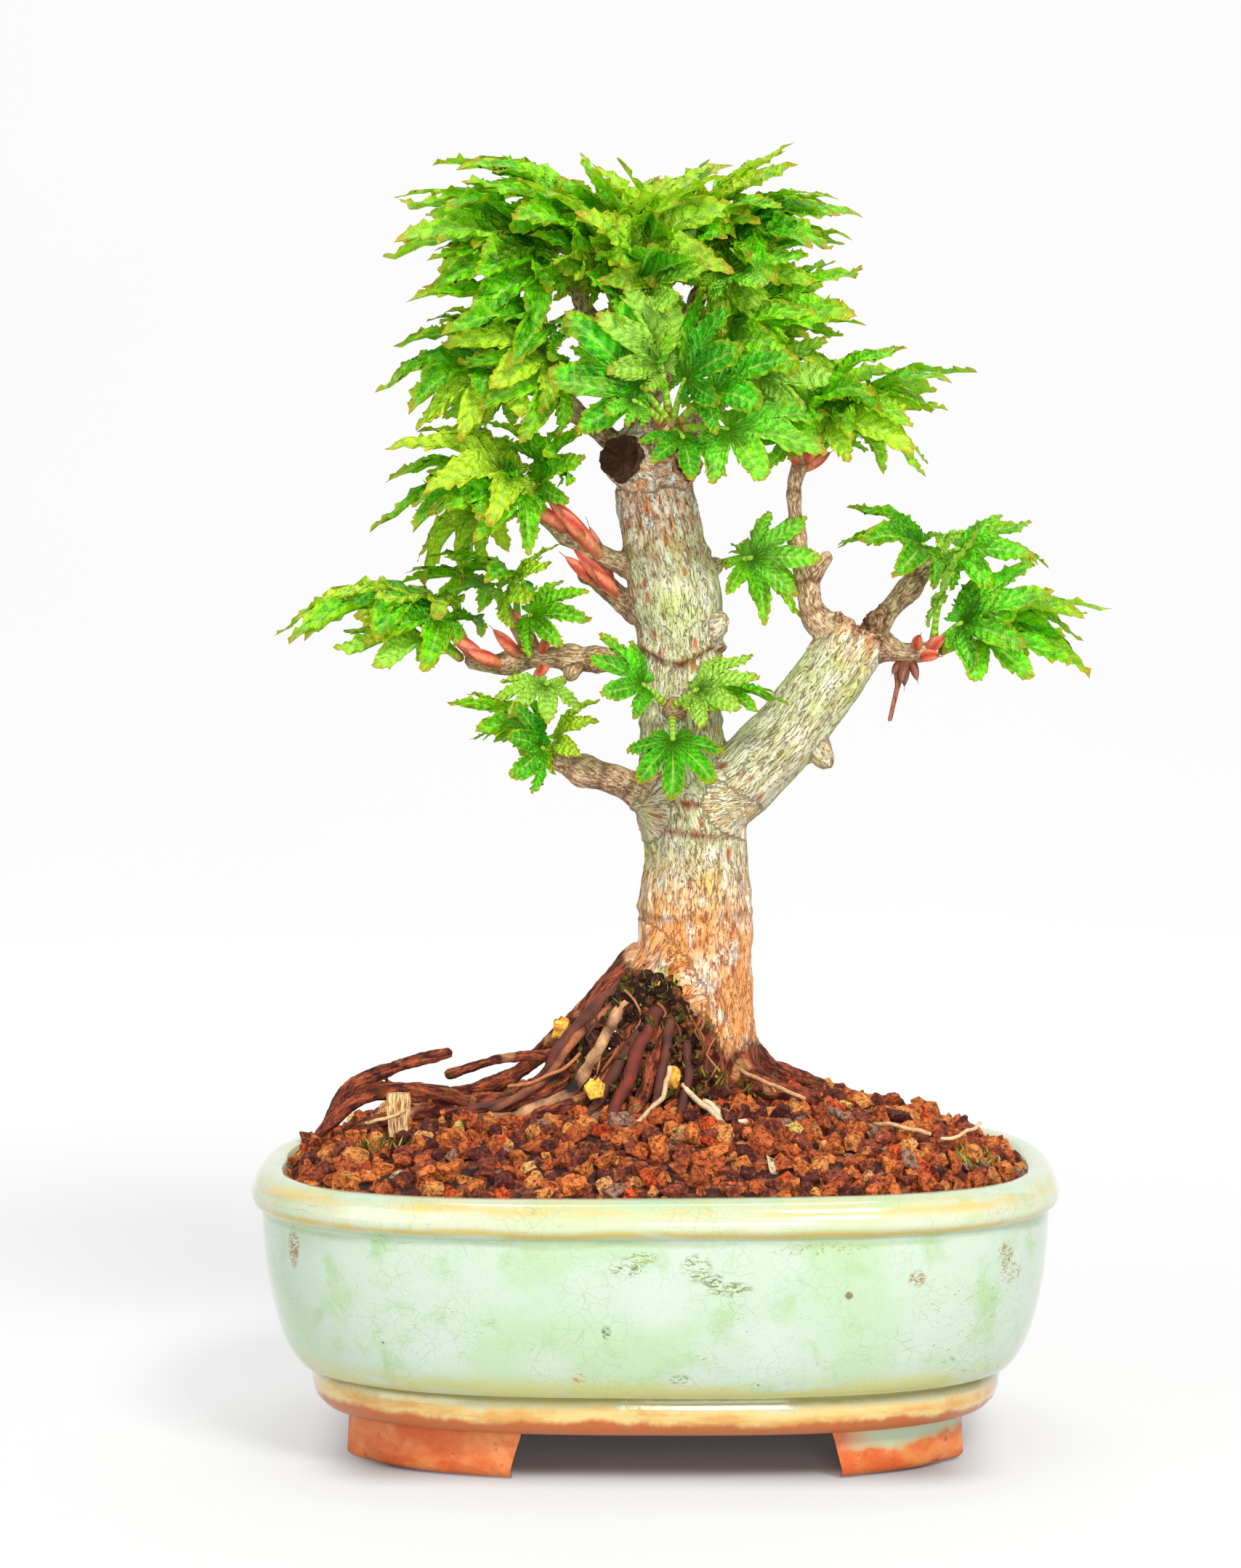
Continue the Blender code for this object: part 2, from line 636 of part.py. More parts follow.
def make_tree(look):
    """All the wood in one mesh of overlapping tubes, fused by a voxel remesh and thinned out."""
    verts, faces = [], []

    def add(path):
        more_verts, more_faces = tube(path)
        start = len(verts)
        verts.extend(more_verts)
        faces.extend(tuple(start + i for i in face) for face in more_faces)

    surface = soil_height(TREE_X, 0)
    plug = [
        (Vector((TREE_X, 0, root_plug_bottom() + 5 * MM)), ROOT_PLUG_RADIUS * 0.72),
        (Vector((TREE_X, 0, surface - 8 * MM)), ROOT_PLUG_RADIUS * 0.96),
        (Vector((TREE_X, 0, surface + 4 * MM)), ROOT_PLUG_RADIUS * 0.98),
    ]
    add(smooth_path(plug, TUBE_STEP))
    add(wood_path(TRUNK))
    add(wood_path(LIMB))
    for points in list(STUBS.values()) + list(TWIGS.values()):
        add(wood_path(points))
    for points in ROOTS.values():
        add(wood_path(points, over_soil=True))
    for shoot in SHOOTS:
        centre = shoot_centre(shoot)
        radius = BUD_RADIUS * MM * TREE_SCALE
        add([(centre - Vector((0, 0, radius * 0.6)), radius * 0.9), (centre + Vector((0, 0, radius * 0.3)), radius)])
    tree = new_object("tree", verts, faces, look)
    fuse = tree.modifiers.new("fuse", "REMESH")
    fuse.mode = "VOXEL"
    fuse.voxel_size = VOXEL
    even = tree.modifiers.new("even", "SMOOTH")
    even.factor = 0.5
    even.iterations = 2
    thin = tree.modifiers.new("thin", "DECIMATE")
    thin.ratio = WOOD_DETAIL
    return tree


def shoot_centre(shoot):
    twig, index = SHOOTS[shoot]
    x, y, z, _ = TWIGS[twig][index]
    return on_tree(x, y, z)


# ---------------------------------------------------------------- leaves

# Lobes by angle from the leaf's middle line, with the reach of each as a share of the middle lobe's.
LOBES = [(-116, 0.40), (-75, 0.72), (-37, 0.93), (0, 1.0), (37, 0.93), (75, 0.72), (116, 0.40)]
SINUS_REACH = 0.40
LEAF_KINDS = {
    "open": {"stalk": 0.34, "droop": 0.20, "width": 0.145},
    "claw": {"stalk": 0.28, "droop": 0.42, "width": 0.150},
}

# Each row: the shoot, the kind, the leaf's tip in millimetres, and its roll in degrees about the line
# from its seat to its tip. Roll 0 faces up.
LEAVES = [
    ("C", "claw", (-47, -3, 227.0), 0),
    ("C", "claw", (-41.7, 6, 234.5), 8),
    ("C", "claw", (-51.0, 8, 219.0), 4),
    ("C", "claw", (-40.5, -13, 216.0), -25),
    ("C", "claw", (-22.0, -6, 235.0), 12),
    ("A", "claw", (-15.0, -20, 223.0), -10),
    ("A", "open", (1.5, -24, 221.0), 10),
    ("B", "claw", (24.5, 4, 236.5), 6),
    ("B", "claw", (30.0, -5, 230.0), -6),
    ("B", "claw", (37.0, -3, 219.0), 4),
    ("B", "open", (28.0, -14, 214.0), 30),
    ("B", "claw", (5.0, 2, 237.0), -10),
    ("K", "claw", (-16.0, 34, 220.0), 0),
    ("K", "claw", (14.0, 38, 212.0), 0),
    ("E", "claw", (-48.5, 4, 200.0), 10),
    ("E", "claw", (-55.0, -4, 197.0), -4),
    ("E", "claw", (-48.0, -12, 190.5), -16),
    ("E", "open", (-40.0, 6, 186.0), 30),
    ("F", "open", (-19.0, -24, 191.0), -62),
    ("F", "open", (6.5, -27, 173.5), -10),
    ("F", "open", (24.5, -25, 195.0), 48),
    ("F", "open", (-5.0, -18, 211.0), -85),
    ("F", "open", (30.0, -24, 178.0), 40),
    ("D", "claw", (38.5, -5, 203.0), 0),
    ("D", "claw", (33.0, 16, 200.0), 10),
    ("G", "claw", (58.5, -1, 194.5), 0),
    ("G", "claw", (53.5, -10, 187.0), 14),
    ("G", "claw", (51.0, 8, 178.0), 24),
    ("G", "open", (36.0, 20, 190.0), 0),
    ("P", "claw", (-53.0, 3, 174.5), 6),
    ("P", "claw", (-52.0, -8, 165.0), -8),
    ("P", "claw", (-45.0, 4, 154.5), 12),
    ("P", "claw", (-27.0, -18, 184.0), -30),
    ("Q", "claw", (-74.0, -3, 146.0), 0),
    ("Q", "open", (-58.0, -14, 143.0), -20),
    ("R", "claw", (-46.0, 12, 158.0), 0),
    ("S", "open", (-26.5, -18, 130.0), -20),
    ("T", "claw", (-34.0, -9, 126.0), 0),
    ("T", "open", (-24.0, -20, 141.0), -40),
    ("N", "open", (-12.0, -22, 141.5), -60),
    ("N", "open", (3.4, -25, 116.0), 0),
    ("N", "claw", (24.5, -15, 133.0), 10),
    ("M", "open", (31.0, -6, 157.0), 60),
    ("H", "claw", (33.5, -4, 162.0), 0),
    ("H", "claw", (75.0, 3, 157.5), 0),
    ("I", "claw", (85.5, -5, 150.0), 0),
    ("I", "open", (76.0, -16, 141.0), 25),
    ("I", "open", (58.0, -19, 164.0), 50),
]


def leaf_template(kind, thickness):
    """(points, faces) of a leaf of unit length from its seat at the origin to its tip at +X, facing +Z.
    Its stalk rises from the seat to the blade's root, and its lobes fan out and bend down from there.
    Blade and stalk are thickest along their middles and run out to an edge."""
    shape = LEAF_KINDS[kind]
    stalk, droop, width = shape["stalk"], shape["droop"], shape["width"]
    reach = 1 - stalk

    def on_blade(angle, r, lift=0.0):
        a = math.radians(angle)
        fall = droop * reach * (1 - r * r)
        return Vector((stalk + reach * r * math.cos(a), reach * r * math.sin(a), fall + lift))

    half = thickness / 2
    top_root, low_root = on_blade(0, 0, half), on_blade(0, 0, -half)
    points = [top_root, low_root]
    sinuses = []
    bounds = [-151] + [(a[0] + b[0]) / 2 for a, b in zip(LOBES, LOBES[1:])] + [151]
    for i, angle in enumerate(bounds):
        at_stalk = i in (0, len(bounds) - 1)
        r = 0.10 if at_stalk else SINUS_REACH * (0.75 if i in (1, len(bounds) - 2) else 1.0)
        sinuses.append(len(points))
        points.append(on_blade(angle, r))
    faces = []
    for i, (angle, share) in enumerate(LOBES):
        spread = math.degrees(math.atan2(width, 0.58 * share))
        mid = 0.52 * share
        first = len(points)
        points += [
            on_blade(angle, mid, half),
            on_blade(angle, mid, -half),
            on_blade(angle - spread, 0.60 * share, -0.25 * width),
            on_blade(angle + spread, 0.60 * share, -0.25 * width),
            on_blade(angle, share),
        ]
        top, low, right, left, tip = range(first, first + 5)
        before, after = sinuses[i], sinuses[i + 1]
        edge = [before, right, tip, left, after]
        for a, b in zip(edge, edge[1:]):
            faces += [(a, b, top), (b, a, low)]
        faces += [(0, before, top), (0, top, after), (1, low, before), (1, after, low)]
    seat_half = STALK_WIDTH / 2
    middle = on_blade(0, 0).lerp(Vector((0, 0, 0)), 0.5) + Vector((0, 0, 0.10 * droop))
    ring_root = [0, sinuses[0], 1, sinuses[-1]]
    previous = ring_root
    for place in (middle, Vector((0, 0, 0))):
        first = len(points)
        points += [place + Vector(v) * seat_half for v in ((0, 0, 1), (0, -1, 0), (0, 0, -1), (0, 1, 0))]
        ring = list(range(first, first + 4))
        for k in range(4):
            n = (k + 1) % 4
            faces.append((previous[k], ring[k], ring[n], previous[n]))
        previous = ring
    faces.append(tuple(previous))
    return points, faces


def leaf_matrix(seat, tip, roll):
    """Carries the template onto a leaf: its seat to seat, its tip to tip, its face as near up as it can."""
    ahead = tip - seat
    x = ahead.normalized()
    up = Vector((0, 0, 1)) - x * x.z
    if up.length < 0.05:
        up = Vector((0, -1, 0)) - x * -x.y
    z = (Matrix.Rotation(math.radians(roll), 3, x) @ up.normalized()).normalized()
    y = z.cross(x)
    turn = Matrix((x, y, z)).transposed().to_4x4()
    return Matrix.Translation(seat) @ turn @ Matrix.Scale(ahead.length, 4)


def seat_of(wood, centre, direction):
    """The first wood met when coming back along the leaf's line to its shoot, less the gap."""
    start = centre + direction * 9 * MM * TREE_SCALE
    hit, _, _, _ = wood.ray_cast(start, -direction, 12 * MM * TREE_SCALE)
    return (hit or centre) + direction * GAP * 1.2


def tries():
    """Small turns (side, rise, roll, size) to try for a leaf, the smallest first."""
    yield 0.0, 0.0, 0.0, 1.0
    for ring in range(1, 15):
        for k in range(10):
            angle = 2 * math.pi * (k / 10 + 0.37 * ring)
            turn = 4.0 * ring
            roll = 7.0 * ring * math.sin(3 * angle + ring)
            yield turn * math.cos(angle), turn * math.sin(angle), roll, 1.0 - 0.012 * ring


def make_leaves(tree, looks):
    """Each leaf takes the first small turn that clears the wood and the leaves before it."""
    wood = tree_of(*evaluated_mesh(tree))
    placed = []
    counts = dict.fromkeys(LEAF_KINDS, 0)
    missed = []
    for shoot, kind, tip, roll in LEAVES:
        centre = shoot_centre(shoot)
        wanted = on_tree(*tip) - centre
        side_axis = Vector((0, 0, 1))
        rise_axis = wanted.cross(side_axis).normalized()
        counts[kind] += 1
        name = f"{kind}_leaf_{counts[kind]:02d}"
        solid, faces = leaf_template(kind, LEAF_THICKNESS)
        thick, _ = leaf_template(kind, TEST_THICKNESS)
        best = None
        for side, rise, more_roll, size in tries():
            turn = Matrix.Rotation(math.radians(side), 3, side_axis) @ Matrix.Rotation(math.radians(rise), 3, rise_axis)
            line = turn @ wanted
            seat = seat_of(wood, centre, line.normalized())
            end = centre + line * LEAF_SIZE * size
            place = leaf_matrix(seat, end, roll + more_roll)
            test = tree_of([place @ p for p in thick], faces)
            if not test.overlap(wood) and not any(test.overlap(other) for other in placed):
                best = (place, test)
                break
        if best is None:
            missed.append(name)
            best = (place, test)
        place, test = best
        placed.append(test)
        new_object(name, [place @ p for p in solid], faces, looks[kind], smooth=False)
    if missed:
        print("no clear place found for", ", ".join(missed))


# ---------------------------------------------------------------- small pieces


def pumice_rings(centre, half):
    """Six-sided rings of a worn stone, from its underside to its top."""
    sides = 6
    rings = []
    for i, (wide, level) in enumerate(((0.55, -1.0), (1.0, -0.45), (0.92, 0.4), (0.5, 1.0))):
        ring = []
        for k in range(sides):
            angle = 2 * math.pi * (k + 0.5 * (i % 2)) / sides
            r = half * wide * (1 + 0.13 * math.sin(2.4 * k + 3 * i))
            ring.append(centre + Vector((r * math.cos(angle), 0.85 * r * math.sin(angle), half * level * 1.1)))
        rings.append(ring)
    return rings


def make_pumice(name, wood, x, z, size, look):
    """A worn stone held against the front of the roots: it backs off from them until it is clear."""
    start = on_tree(x, -60, z)
    centre, _, _, _ = wood.ray_cast(start, Vector((0, 1, 0)))
    clear = False
    while not clear:
        centre = centre + Vector((0, -GAP / 3, 0))
        wide = loft("pumice_test", pumice_rings(centre, size / 2 + GAP), None)
        clear = not tree_of(*evaluated_mesh(wide)).overlap(wood)
        bpy.data.objects.remove(wide)
    return loft(name, pumice_rings(centre, size / 2), look, smooth=False)


def make_stalk_tuft(wood, x, y, look):
    """The stub of a dry stalk in the soil, in front of the roots: it stands far enough forward to clear them."""
    while True:
        stalk = stalk_tuft(x, y, STALK_TUFT_RADIUS, look)
        wide = stalk_tuft(x, y, STALK_TUFT_RADIUS + 2 * GAP, None)
        clear = not tree_of(*evaluated_mesh(wide)).overlap(wood)
        bpy.data.objects.remove(wide)
        if clear:
            return stalk
        bpy.data.objects.remove(stalk)
        y -= GAP


def stalk_tuft(x, y, radius, look):
    """A short fluted bundle, wider at its top."""
    base = soil_height(x, y) + ROOT_CLEARANCE
    sides = 12
    rings = []
    for share, wide in ((0.0, 0.72), (0.35, 0.84), (0.8, 1.0), (1.0, 0.9)):
        ring = []
        for k in range(sides):
            angle = 2 * math.pi * k / sides
            r = radius * wide * (1.0 if k % 2 else 0.82)
            ring.append(Vector((x + r * math.cos(angle), y + 0.7 * r * math.sin(angle), base + STALK_TUFT_HEIGHT * share)))
        rings.append(ring)
    return loft("dry_stalk", rings, look)


def make_dead_stalk(wood, look):
    """A withered leaf stalk that hangs from the limb's low twig: a wide torn top and a thin rod."""
    under = on_tree(45.8, -3.2, 120)
    hit, _, _, _ = wood.ray_cast(under, Vector((0, 0, 1)))
    top = hit - Vector((0, 0, GAP * 1.3))
    lean = Vector((-0.22, -0.05, -0.97)).normalized()
    sides = 8
    rings = []
    for share, radius in ((0.0, 0.9), (0.12, 1.3), (0.26, 0.8), (0.36, 0.5), (0.97, 0.42), (1.0, 0.3)):
        place = top + lean * DEAD_STALK_LENGTH * share
        ring = []
        for k in range(sides):
            angle = 2 * math.pi * k / sides
            ring.append(place + Vector((math.cos(angle), -math.sin(angle), 0)) * radius * MM)
        rings.append(ring)
    return loft("dead_stalk", rings, look)


# ---------------------------------------------------------------- whole object


def move_origin_under_middle():
    """Moves everything so that the origin is under the middle of the object's box."""
    low, high = Vector((1e9,) * 3), Vector((-1e9,) * 3)
    shown = [o for o in bpy.data.objects if not o.hide_render]
    for obj in shown:
        for p in evaluated_mesh(obj)[0]:
            low = Vector(map(min, low, p))
            high = Vector(map(max, high, p))
    shift = Vector((-(low.x + high.x) / 2, -(low.y + high.y) / 2, -low.z))
    for obj in bpy.data.objects:
        obj.location += shift
    print("pot's middle is at x = %.5f, y = %.5f" % (shift.x, shift.y))


def main():
    clear_scene()
    glaze = material("glaze", (0.62, 0.78, 0.66), 0.12)
    plastic = material("screen_plastic", (0.05, 0.09, 0.06), 0.5)
    steel = material("clip_wire", (0.45, 0.42, 0.4), 0.35, 1.0)
    compost = material("akadama_soil", (0.25, 0.10, 0.05), 0.95)
    bark = material("maple_bark", (0.60, 0.52, 0.38), 0.8)
    leaf_looks = {
        "open": material("leaf_green", (0.16, 0.42, 0.03), 0.45),
        "claw": material("young_leaf_green", (0.28, 0.50, 0.03), 0.45),
    }
    dry = material("dry_stem", (0.55, 0.38, 0.18), 0.9)
    stone = material("pumice", (0.80, 0.62, 0.25), 0.95)

    make_pot(glaze)
    for side, x in (("left", -DRAIN_SPACING / 2), ("right", DRAIN_SPACING / 2)):
        make_screen(f"drain_screen_{side}", x, plastic)
        make_clip(f"screen_clip_{side}", x, steel)
    make_soil(compost)
    tree = make_tree(bark)
    wood = tree_of(*evaluated_mesh(tree))
    make_leaves(tree, leaf_looks)
    for k, (x, z) in enumerate(((3.0, 63.5), (-11.0, 62.0), (-17.5, 70.5))):
        make_pumice(f"pumice_{k + 1}", wood, x, z, PUMICE_SIZES[k], stone)
    make_stalk_tuft(wood, -47 * MM, -19 * MM, dry)
    make_dead_stalk(wood, dry)
    move_origin_under_middle()


main()
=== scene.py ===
"""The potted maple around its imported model: glazed pot, soil grains, bark, leaves, camera and light.

Metres, +Z up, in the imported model's frame. Lists of points are in millimetres from the pot's middle on
the ground, as the model's own design gives them.
"""

import math
import random

import bmesh
import bpy
import numpy as np
from mathutils import Matrix, Vector, kdtree, noise


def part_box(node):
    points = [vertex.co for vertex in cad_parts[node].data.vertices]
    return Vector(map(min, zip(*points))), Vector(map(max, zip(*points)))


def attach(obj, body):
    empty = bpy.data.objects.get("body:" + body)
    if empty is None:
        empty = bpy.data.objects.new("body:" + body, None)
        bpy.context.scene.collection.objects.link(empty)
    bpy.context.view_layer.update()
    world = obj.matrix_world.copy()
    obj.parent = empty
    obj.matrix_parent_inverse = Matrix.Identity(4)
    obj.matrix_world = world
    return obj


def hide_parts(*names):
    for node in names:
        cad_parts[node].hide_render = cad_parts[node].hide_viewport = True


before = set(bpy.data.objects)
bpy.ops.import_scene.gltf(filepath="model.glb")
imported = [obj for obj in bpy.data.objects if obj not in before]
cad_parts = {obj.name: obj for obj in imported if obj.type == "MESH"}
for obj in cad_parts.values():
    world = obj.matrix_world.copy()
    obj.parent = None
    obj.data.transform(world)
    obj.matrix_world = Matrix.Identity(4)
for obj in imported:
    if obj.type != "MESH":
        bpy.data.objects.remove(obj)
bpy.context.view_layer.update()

MM = 0.001
pot_low, pot_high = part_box("pot")
POT_X = (pot_low.x + pot_high.x) / 2
POT_Y = (pot_low.y + pot_high.y) / 2
POT_TOP = pot_high.z
HALF_X, HALF_Y = 75 * MM, 56.5 * MM
PLAN_POWER = 2.9
TREE_RISE = 5.2  # the tree's listed heights are over a soil this much lower
RNG = random.Random(7)
# painted shade: the first glow, under the pot, is kept low so the floor there is darkened
FLOOR_GLOW_WITH_PAINTED_SHADE = (0.03, 0.54, 0.16)  # under the pot, beside it, and added far behind it
CAMERA_AZIMUTH, CAMERA_DISTANCE, CAMERA_HEIGHT = math.radians(0.22), 0.7025, 0.160
CAMERA_DIP, CAMERA_SWING = 3.079, 0.537  # degrees below the level, and to the left
LENS, SENSOR = 86.3, 36
WORLD_LIGHT = 0.36
STALK_GAP = 33  # degrees from the outermost lobes' axes to the cleft at the stalk
WOOD_VOXEL = 0.50 * MM


# ---------------------------------------------------------------- camera, light, floor


def place_camera():
    camera = bpy.data.objects.new("camera", bpy.data.cameras.new("camera"))
    bpy.context.scene.collection.objects.link(camera)
    out_x, out_y = CAMERA_DISTANCE * math.sin(CAMERA_AZIMUTH), CAMERA_DISTANCE * math.cos(CAMERA_AZIMUTH)
    camera.location = (POT_X + out_x, POT_Y - out_y, CAMERA_HEIGHT)
    camera.rotation_euler = (math.radians(90 - CAMERA_DIP), 0, CAMERA_AZIMUTH + math.radians(CAMERA_SWING))
    camera.data.lens = LENS
    camera.data.sensor_width = SENSOR
    camera.data.clip_start = 0.05
    bpy.context.scene.camera = camera


def area_light(name, place, aim, size, power, colour=(1, 1, 1)):
    light = bpy.data.objects.new(name, bpy.data.lights.new(name, "AREA"))
    light.data.energy = power
    light.data.size = size
    light.data.color = colour
    light.location = place
    light.rotation_euler = (Vector(aim) - Vector(place)).to_track_quat("-Z", "Y").to_euler()
    bpy.context.scene.collection.objects.link(light)


def place_lights():
    world = bpy.data.worlds.new("studio")
    world.use_nodes = True
    world.node_tree.nodes["Background"].inputs["Color"].default_value = (1.0, 1.0, 1.0, 1)
    world.node_tree.nodes["Background"].inputs["Strength"].default_value = WORLD_LIGHT
    bpy.context.scene.world = world
    middle = (0, 0, 0.12)
    area_light("key", (0.40, -0.86, 0.92), middle, 0.36, 15.0, (1.0, 0.985, 0.96))
    area_light("fill", (-0.9, -0.7, 0.5), middle, 0.8, 4.0, (0.96, 0.98, 1.0))
    area_light("front", (0.15, -1.2, 0.30), middle, 0.35, 4.5)
    area_light("top", (0.0, 0.25, 1.1), middle, 0.6, 4.2)


def place_floor():
    """A sweep: flat under the pot, then curving up behind it."""
    verts, faces = [], []
    profile = [(-1.6, 0.0), (0.9, 0.0)]
    for k in range(1, 13):
        a = math.radians(90 * k / 12)
        profile.append((0.9 + 0.6 * math.sin(a), 0.6 - 0.6 * math.cos(a)))
    profile.append((1.5, 2.4))
    for y, z in profile:
        verts += [(-2.2, y, z - 0.0002), (2.2, y, z - 0.0002)]
    for k in range(len(profile) - 1):
        faces.append((2 * k, 2 * k + 1, 2 * k + 3, 2 * k + 2))
    floor = mesh_object("floor", verts, faces)
    mat = new_material("paper_sweep_with_painted_shade")
    mm = position()
    x, y, _ = split(mm)
    grain = noise_node(mm, 0.003, 3)
    white = mix(grain, (0.27, 0.27, 0.272, 1), (0.30, 0.30, 0.302, 1))
    # painted shade: the paper's glow is cut low under and close round the pot, which darkens the floor there
    # as a painted shadow and lets the pot's own shadow show
    past_x = calc("MAXIMUM", calc("ABSOLUTE", x - POT_X / MM) - 46.0, 0.0)
    past_y = calc("MAXIMUM", calc("ABSOLUTE", y) - 28.0, 0.0)
    away = calc("SQRT", past_x * past_x + past_y * past_y)
    near = step(away, 0.0, 20.0, FLOOR_GLOW_WITH_PAINTED_SHADE[0], FLOOR_GLOW_WITH_PAINTED_SHADE[1])
    glow = near + step(away, 40.0, 700.0, 0.0, FLOOR_GLOW_WITH_PAINTED_SHADE[2])
    principled(white, 0.9, Emission_Color=(1.0, 1.0, 1.0, 1), Emission_Strength=glow)
    floor.data.materials.append(mat)


# ---------------------------------------------------------------- meshes


def mesh_object(name, verts, faces, look=None):
    mesh = bpy.data.meshes.new(name)
    mesh.from_pydata([tuple(v) for v in verts], [], faces)
    mesh.shade_smooth()
    obj = bpy.data.objects.new(name, mesh)
    bpy.context.scene.collection.objects.link(obj)
    if look:
        mesh.materials.append(look)
    return obj


def set_look(obj, look):
    obj.data.materials.clear()
    obj.data.materials.append(look)


def keep(obj, slot, *nodes):
    """A finished piece of the object: it rides with the body and may stand for CAD nodes."""
    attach(obj, "root")
    if nodes:
        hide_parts(*nodes)
    return obj


def set_attribute(obj, name, kind, values):
    attribute = obj.data.attributes.new(name, kind, "POINT")
    key = {"FLOAT_COLOR": "color", "FLOAT_VECTOR": "vector", "FLOAT": "value"}[kind]
    attribute.data.foreach_set(key, np.asarray(values, dtype=np.float32).ravel())


class Soup:
    """Collects many small meshes, each with a colour, into one object."""

    def __init__(self):
        self.verts, self.faces, self.tones = [], [], []

    def add(self, verts, faces, tones):
        start = len(self.verts)
        self.verts.extend(verts)
        self.faces.extend(tuple(start + i for i in face) for face in faces)
        self.tones.extend(tones if isinstance(tones, list) else [tones] * len(verts))

    def build(self, name, look):
        obj = mesh_object(name, self.verts, self.faces, look)
        set_attribute(obj, "tone", "FLOAT_COLOR", self.tones)
        return obj


def smooth_path(points, step):
    """Catmull-Rom through (position, radius) points, sampled about every step."""
    ends = [points[0]] + points + [points[-1]]
    out = []
    for i in range(1, len(ends) - 2):
        p0, p1, p2, p3 = (ends[i + k][0] for k in (-1, 0, 1, 2))
        r1, r2 = ends[i][1], ends[i + 1][1]
        pieces = max(1, round((p2 - p1).length / step))
        for k in range(pieces):
            t = k / pieces
            square, cube = 2 * p0 - 5 * p1 + 4 * p2 - p3, 3 * p1 - p0 - 3 * p2 + p3
            place = 0.5 * (2 * p1 + (p2 - p0) * t + square * t * t + cube * t**3)
            out.append((place, r1 + (r2 - r1) * (3 * t * t - 2 * t**3)))
    return out + [points[-1]]


def tube(path, sides, flat_end=False):
    """(points, faces) of a closed tube along (position, radius), domed unless flat_end."""
    first, last = path[0], path[-1]
    full = [(first[0] + (first[0] - path[1][0]).normalized() * first[1] * 0.6, first[1] * 0.5)] + path
    if not flat_end:
        full += [(last[0] + (last[0] - path[-2][0]).normalized() * last[1] * 0.6, last[1] * 0.5)]
    verts, faces = [], []
    across = Vector((0.1, 1, 0.05))
    for i, (place, radius) in enumerate(full):
        ahead = (full[min(i + 1, len(full) - 1)][0] - full[max(i - 1, 0)][0]).normalized()
        across = (across - ahead * across.dot(ahead)).normalized()
        other = ahead.cross(across)
        for k in range(sides):
            angle = 2 * math.pi * k / sides
            verts.append(place + (across * math.cos(angle) + other * math.sin(angle)) * radius)
    for i in range(len(full) - 1):
        for k in range(sides):
            a, b = i * sides + k, i * sides + (k + 1) % sides
            faces.append((a, b, b + sides, a + sides))
    faces.append(tuple(reversed(range(sides))))
    faces.append(tuple((len(full) - 1) * sides + k for k in range(sides)))
    return verts, faces


# ---------------------------------------------------------------- materials


class Wire:
    """A node's output in the material under way, with signs for the nodes that reckon."""

    tree = None

    def __init__(self, socket):
        self.socket = socket

    def __add__(self, other):
        return calc("ADD", self, other)

    def __sub__(self, other):
        return calc("SUBTRACT", self, other)

    def __rsub__(self, other):
        return calc("SUBTRACT", other, self)

    def __mul__(self, other):
        return calc("MULTIPLY", self, other)

    def __truediv__(self, other):
        return calc("DIVIDE", self, other)


def new_material(name):
    mat = bpy.data.materials.new(name)
    mat.use_nodes = True
    Wire.tree = mat.node_tree
    return mat


def feed(socket, value):
    """Sets an input, or links it when value is a wire."""
    if isinstance(value, Wire):
        Wire.tree.links.new(value.socket, socket)
    else:
        socket.default_value = value


def add(kind, inputs, output=0, **settings):
    """A new node with these inputs and settings, given as the wire of one of its outputs."""
    made = Wire.tree.nodes.new(kind)
    for key, value in settings.items():
        setattr(made, key, value)
    for key, value in inputs.items():
        feed(made.inputs[key], value)
    return Wire(made.outputs[output])


def position(stretch=(1, 1, 1)):
    """Object coordinates in millimetres."""
    return scaled(add("ShaderNodeTexCoord", {}, "Object"), [1000 * k for k in stretch])


def attribute(name, output="Vector"):
    return add("ShaderNodeAttribute", {}, output, attribute_name=name)


def scaled(vector, stretch):
    return add("ShaderNodeMapping", {"Vector": vector, "Scale": stretch})


def noise_node(vector, scale, detail=4, roughness=0.55, distortion=0.0):
    inputs = {"Vector": vector, "Scale": scale, "Detail": detail, "Roughness": roughness}
    return add("ShaderNodeTexNoise", {**inputs, "Distortion": distortion})


def warped(vector, amount, **inputs):
    """The place moved about by a noise's colour."""
    return mix(amount, vector, add("ShaderNodeTexNoise", {"Vector": vector, **inputs}, "Color"), "ADD")


def cells(vector, scale, feature="F1", output="Distance"):
    return add("ShaderNodeTexVoronoi", {"Vector": vector, "Scale": scale}, output, feature=feature)


def calc(operation, a, b=0.0, clamp=False):
    return add("ShaderNodeMath", {0: a, 1: b}, operation=operation, use_clamp=clamp)


def step(value, low, high, out_low=0.0, out_high=1.0):
    """A smooth step from out_low at low to out_high at high."""
    inputs = {"Value": value, "From Min": low, "From Max": high, "To Min": out_low, "To Max": out_high}
    return add("ShaderNodeMapRange", inputs, interpolation_type="SMOOTHSTEP")


def mix(factor, a, b, blend="MIX"):
    return add("ShaderNodeMix", {0: factor, 6: a, 7: b}, 2, data_type="RGBA", blend_type=blend)


def over(colour, tint, value, low, high, most=1.0):
    """Tint laid over a colour: none where value is low, most where it is high."""
    return mix(step(value, low, high, 0.0, most), colour, tint)


def split(source, kind="XYZ"):
    """The three parts of a vector, or of a colour."""
    made = add("ShaderNodeSeparate" + kind, {0: source}).socket.node
    return [Wire(part) for part in made.outputs[:3]]


def bump(height, strength, distance, normal=None):
    inputs = {"Height": height, "Strength": strength, "Distance": distance}
    return add("ShaderNodeBump", inputs if normal is None else {**inputs, "Normal": normal})


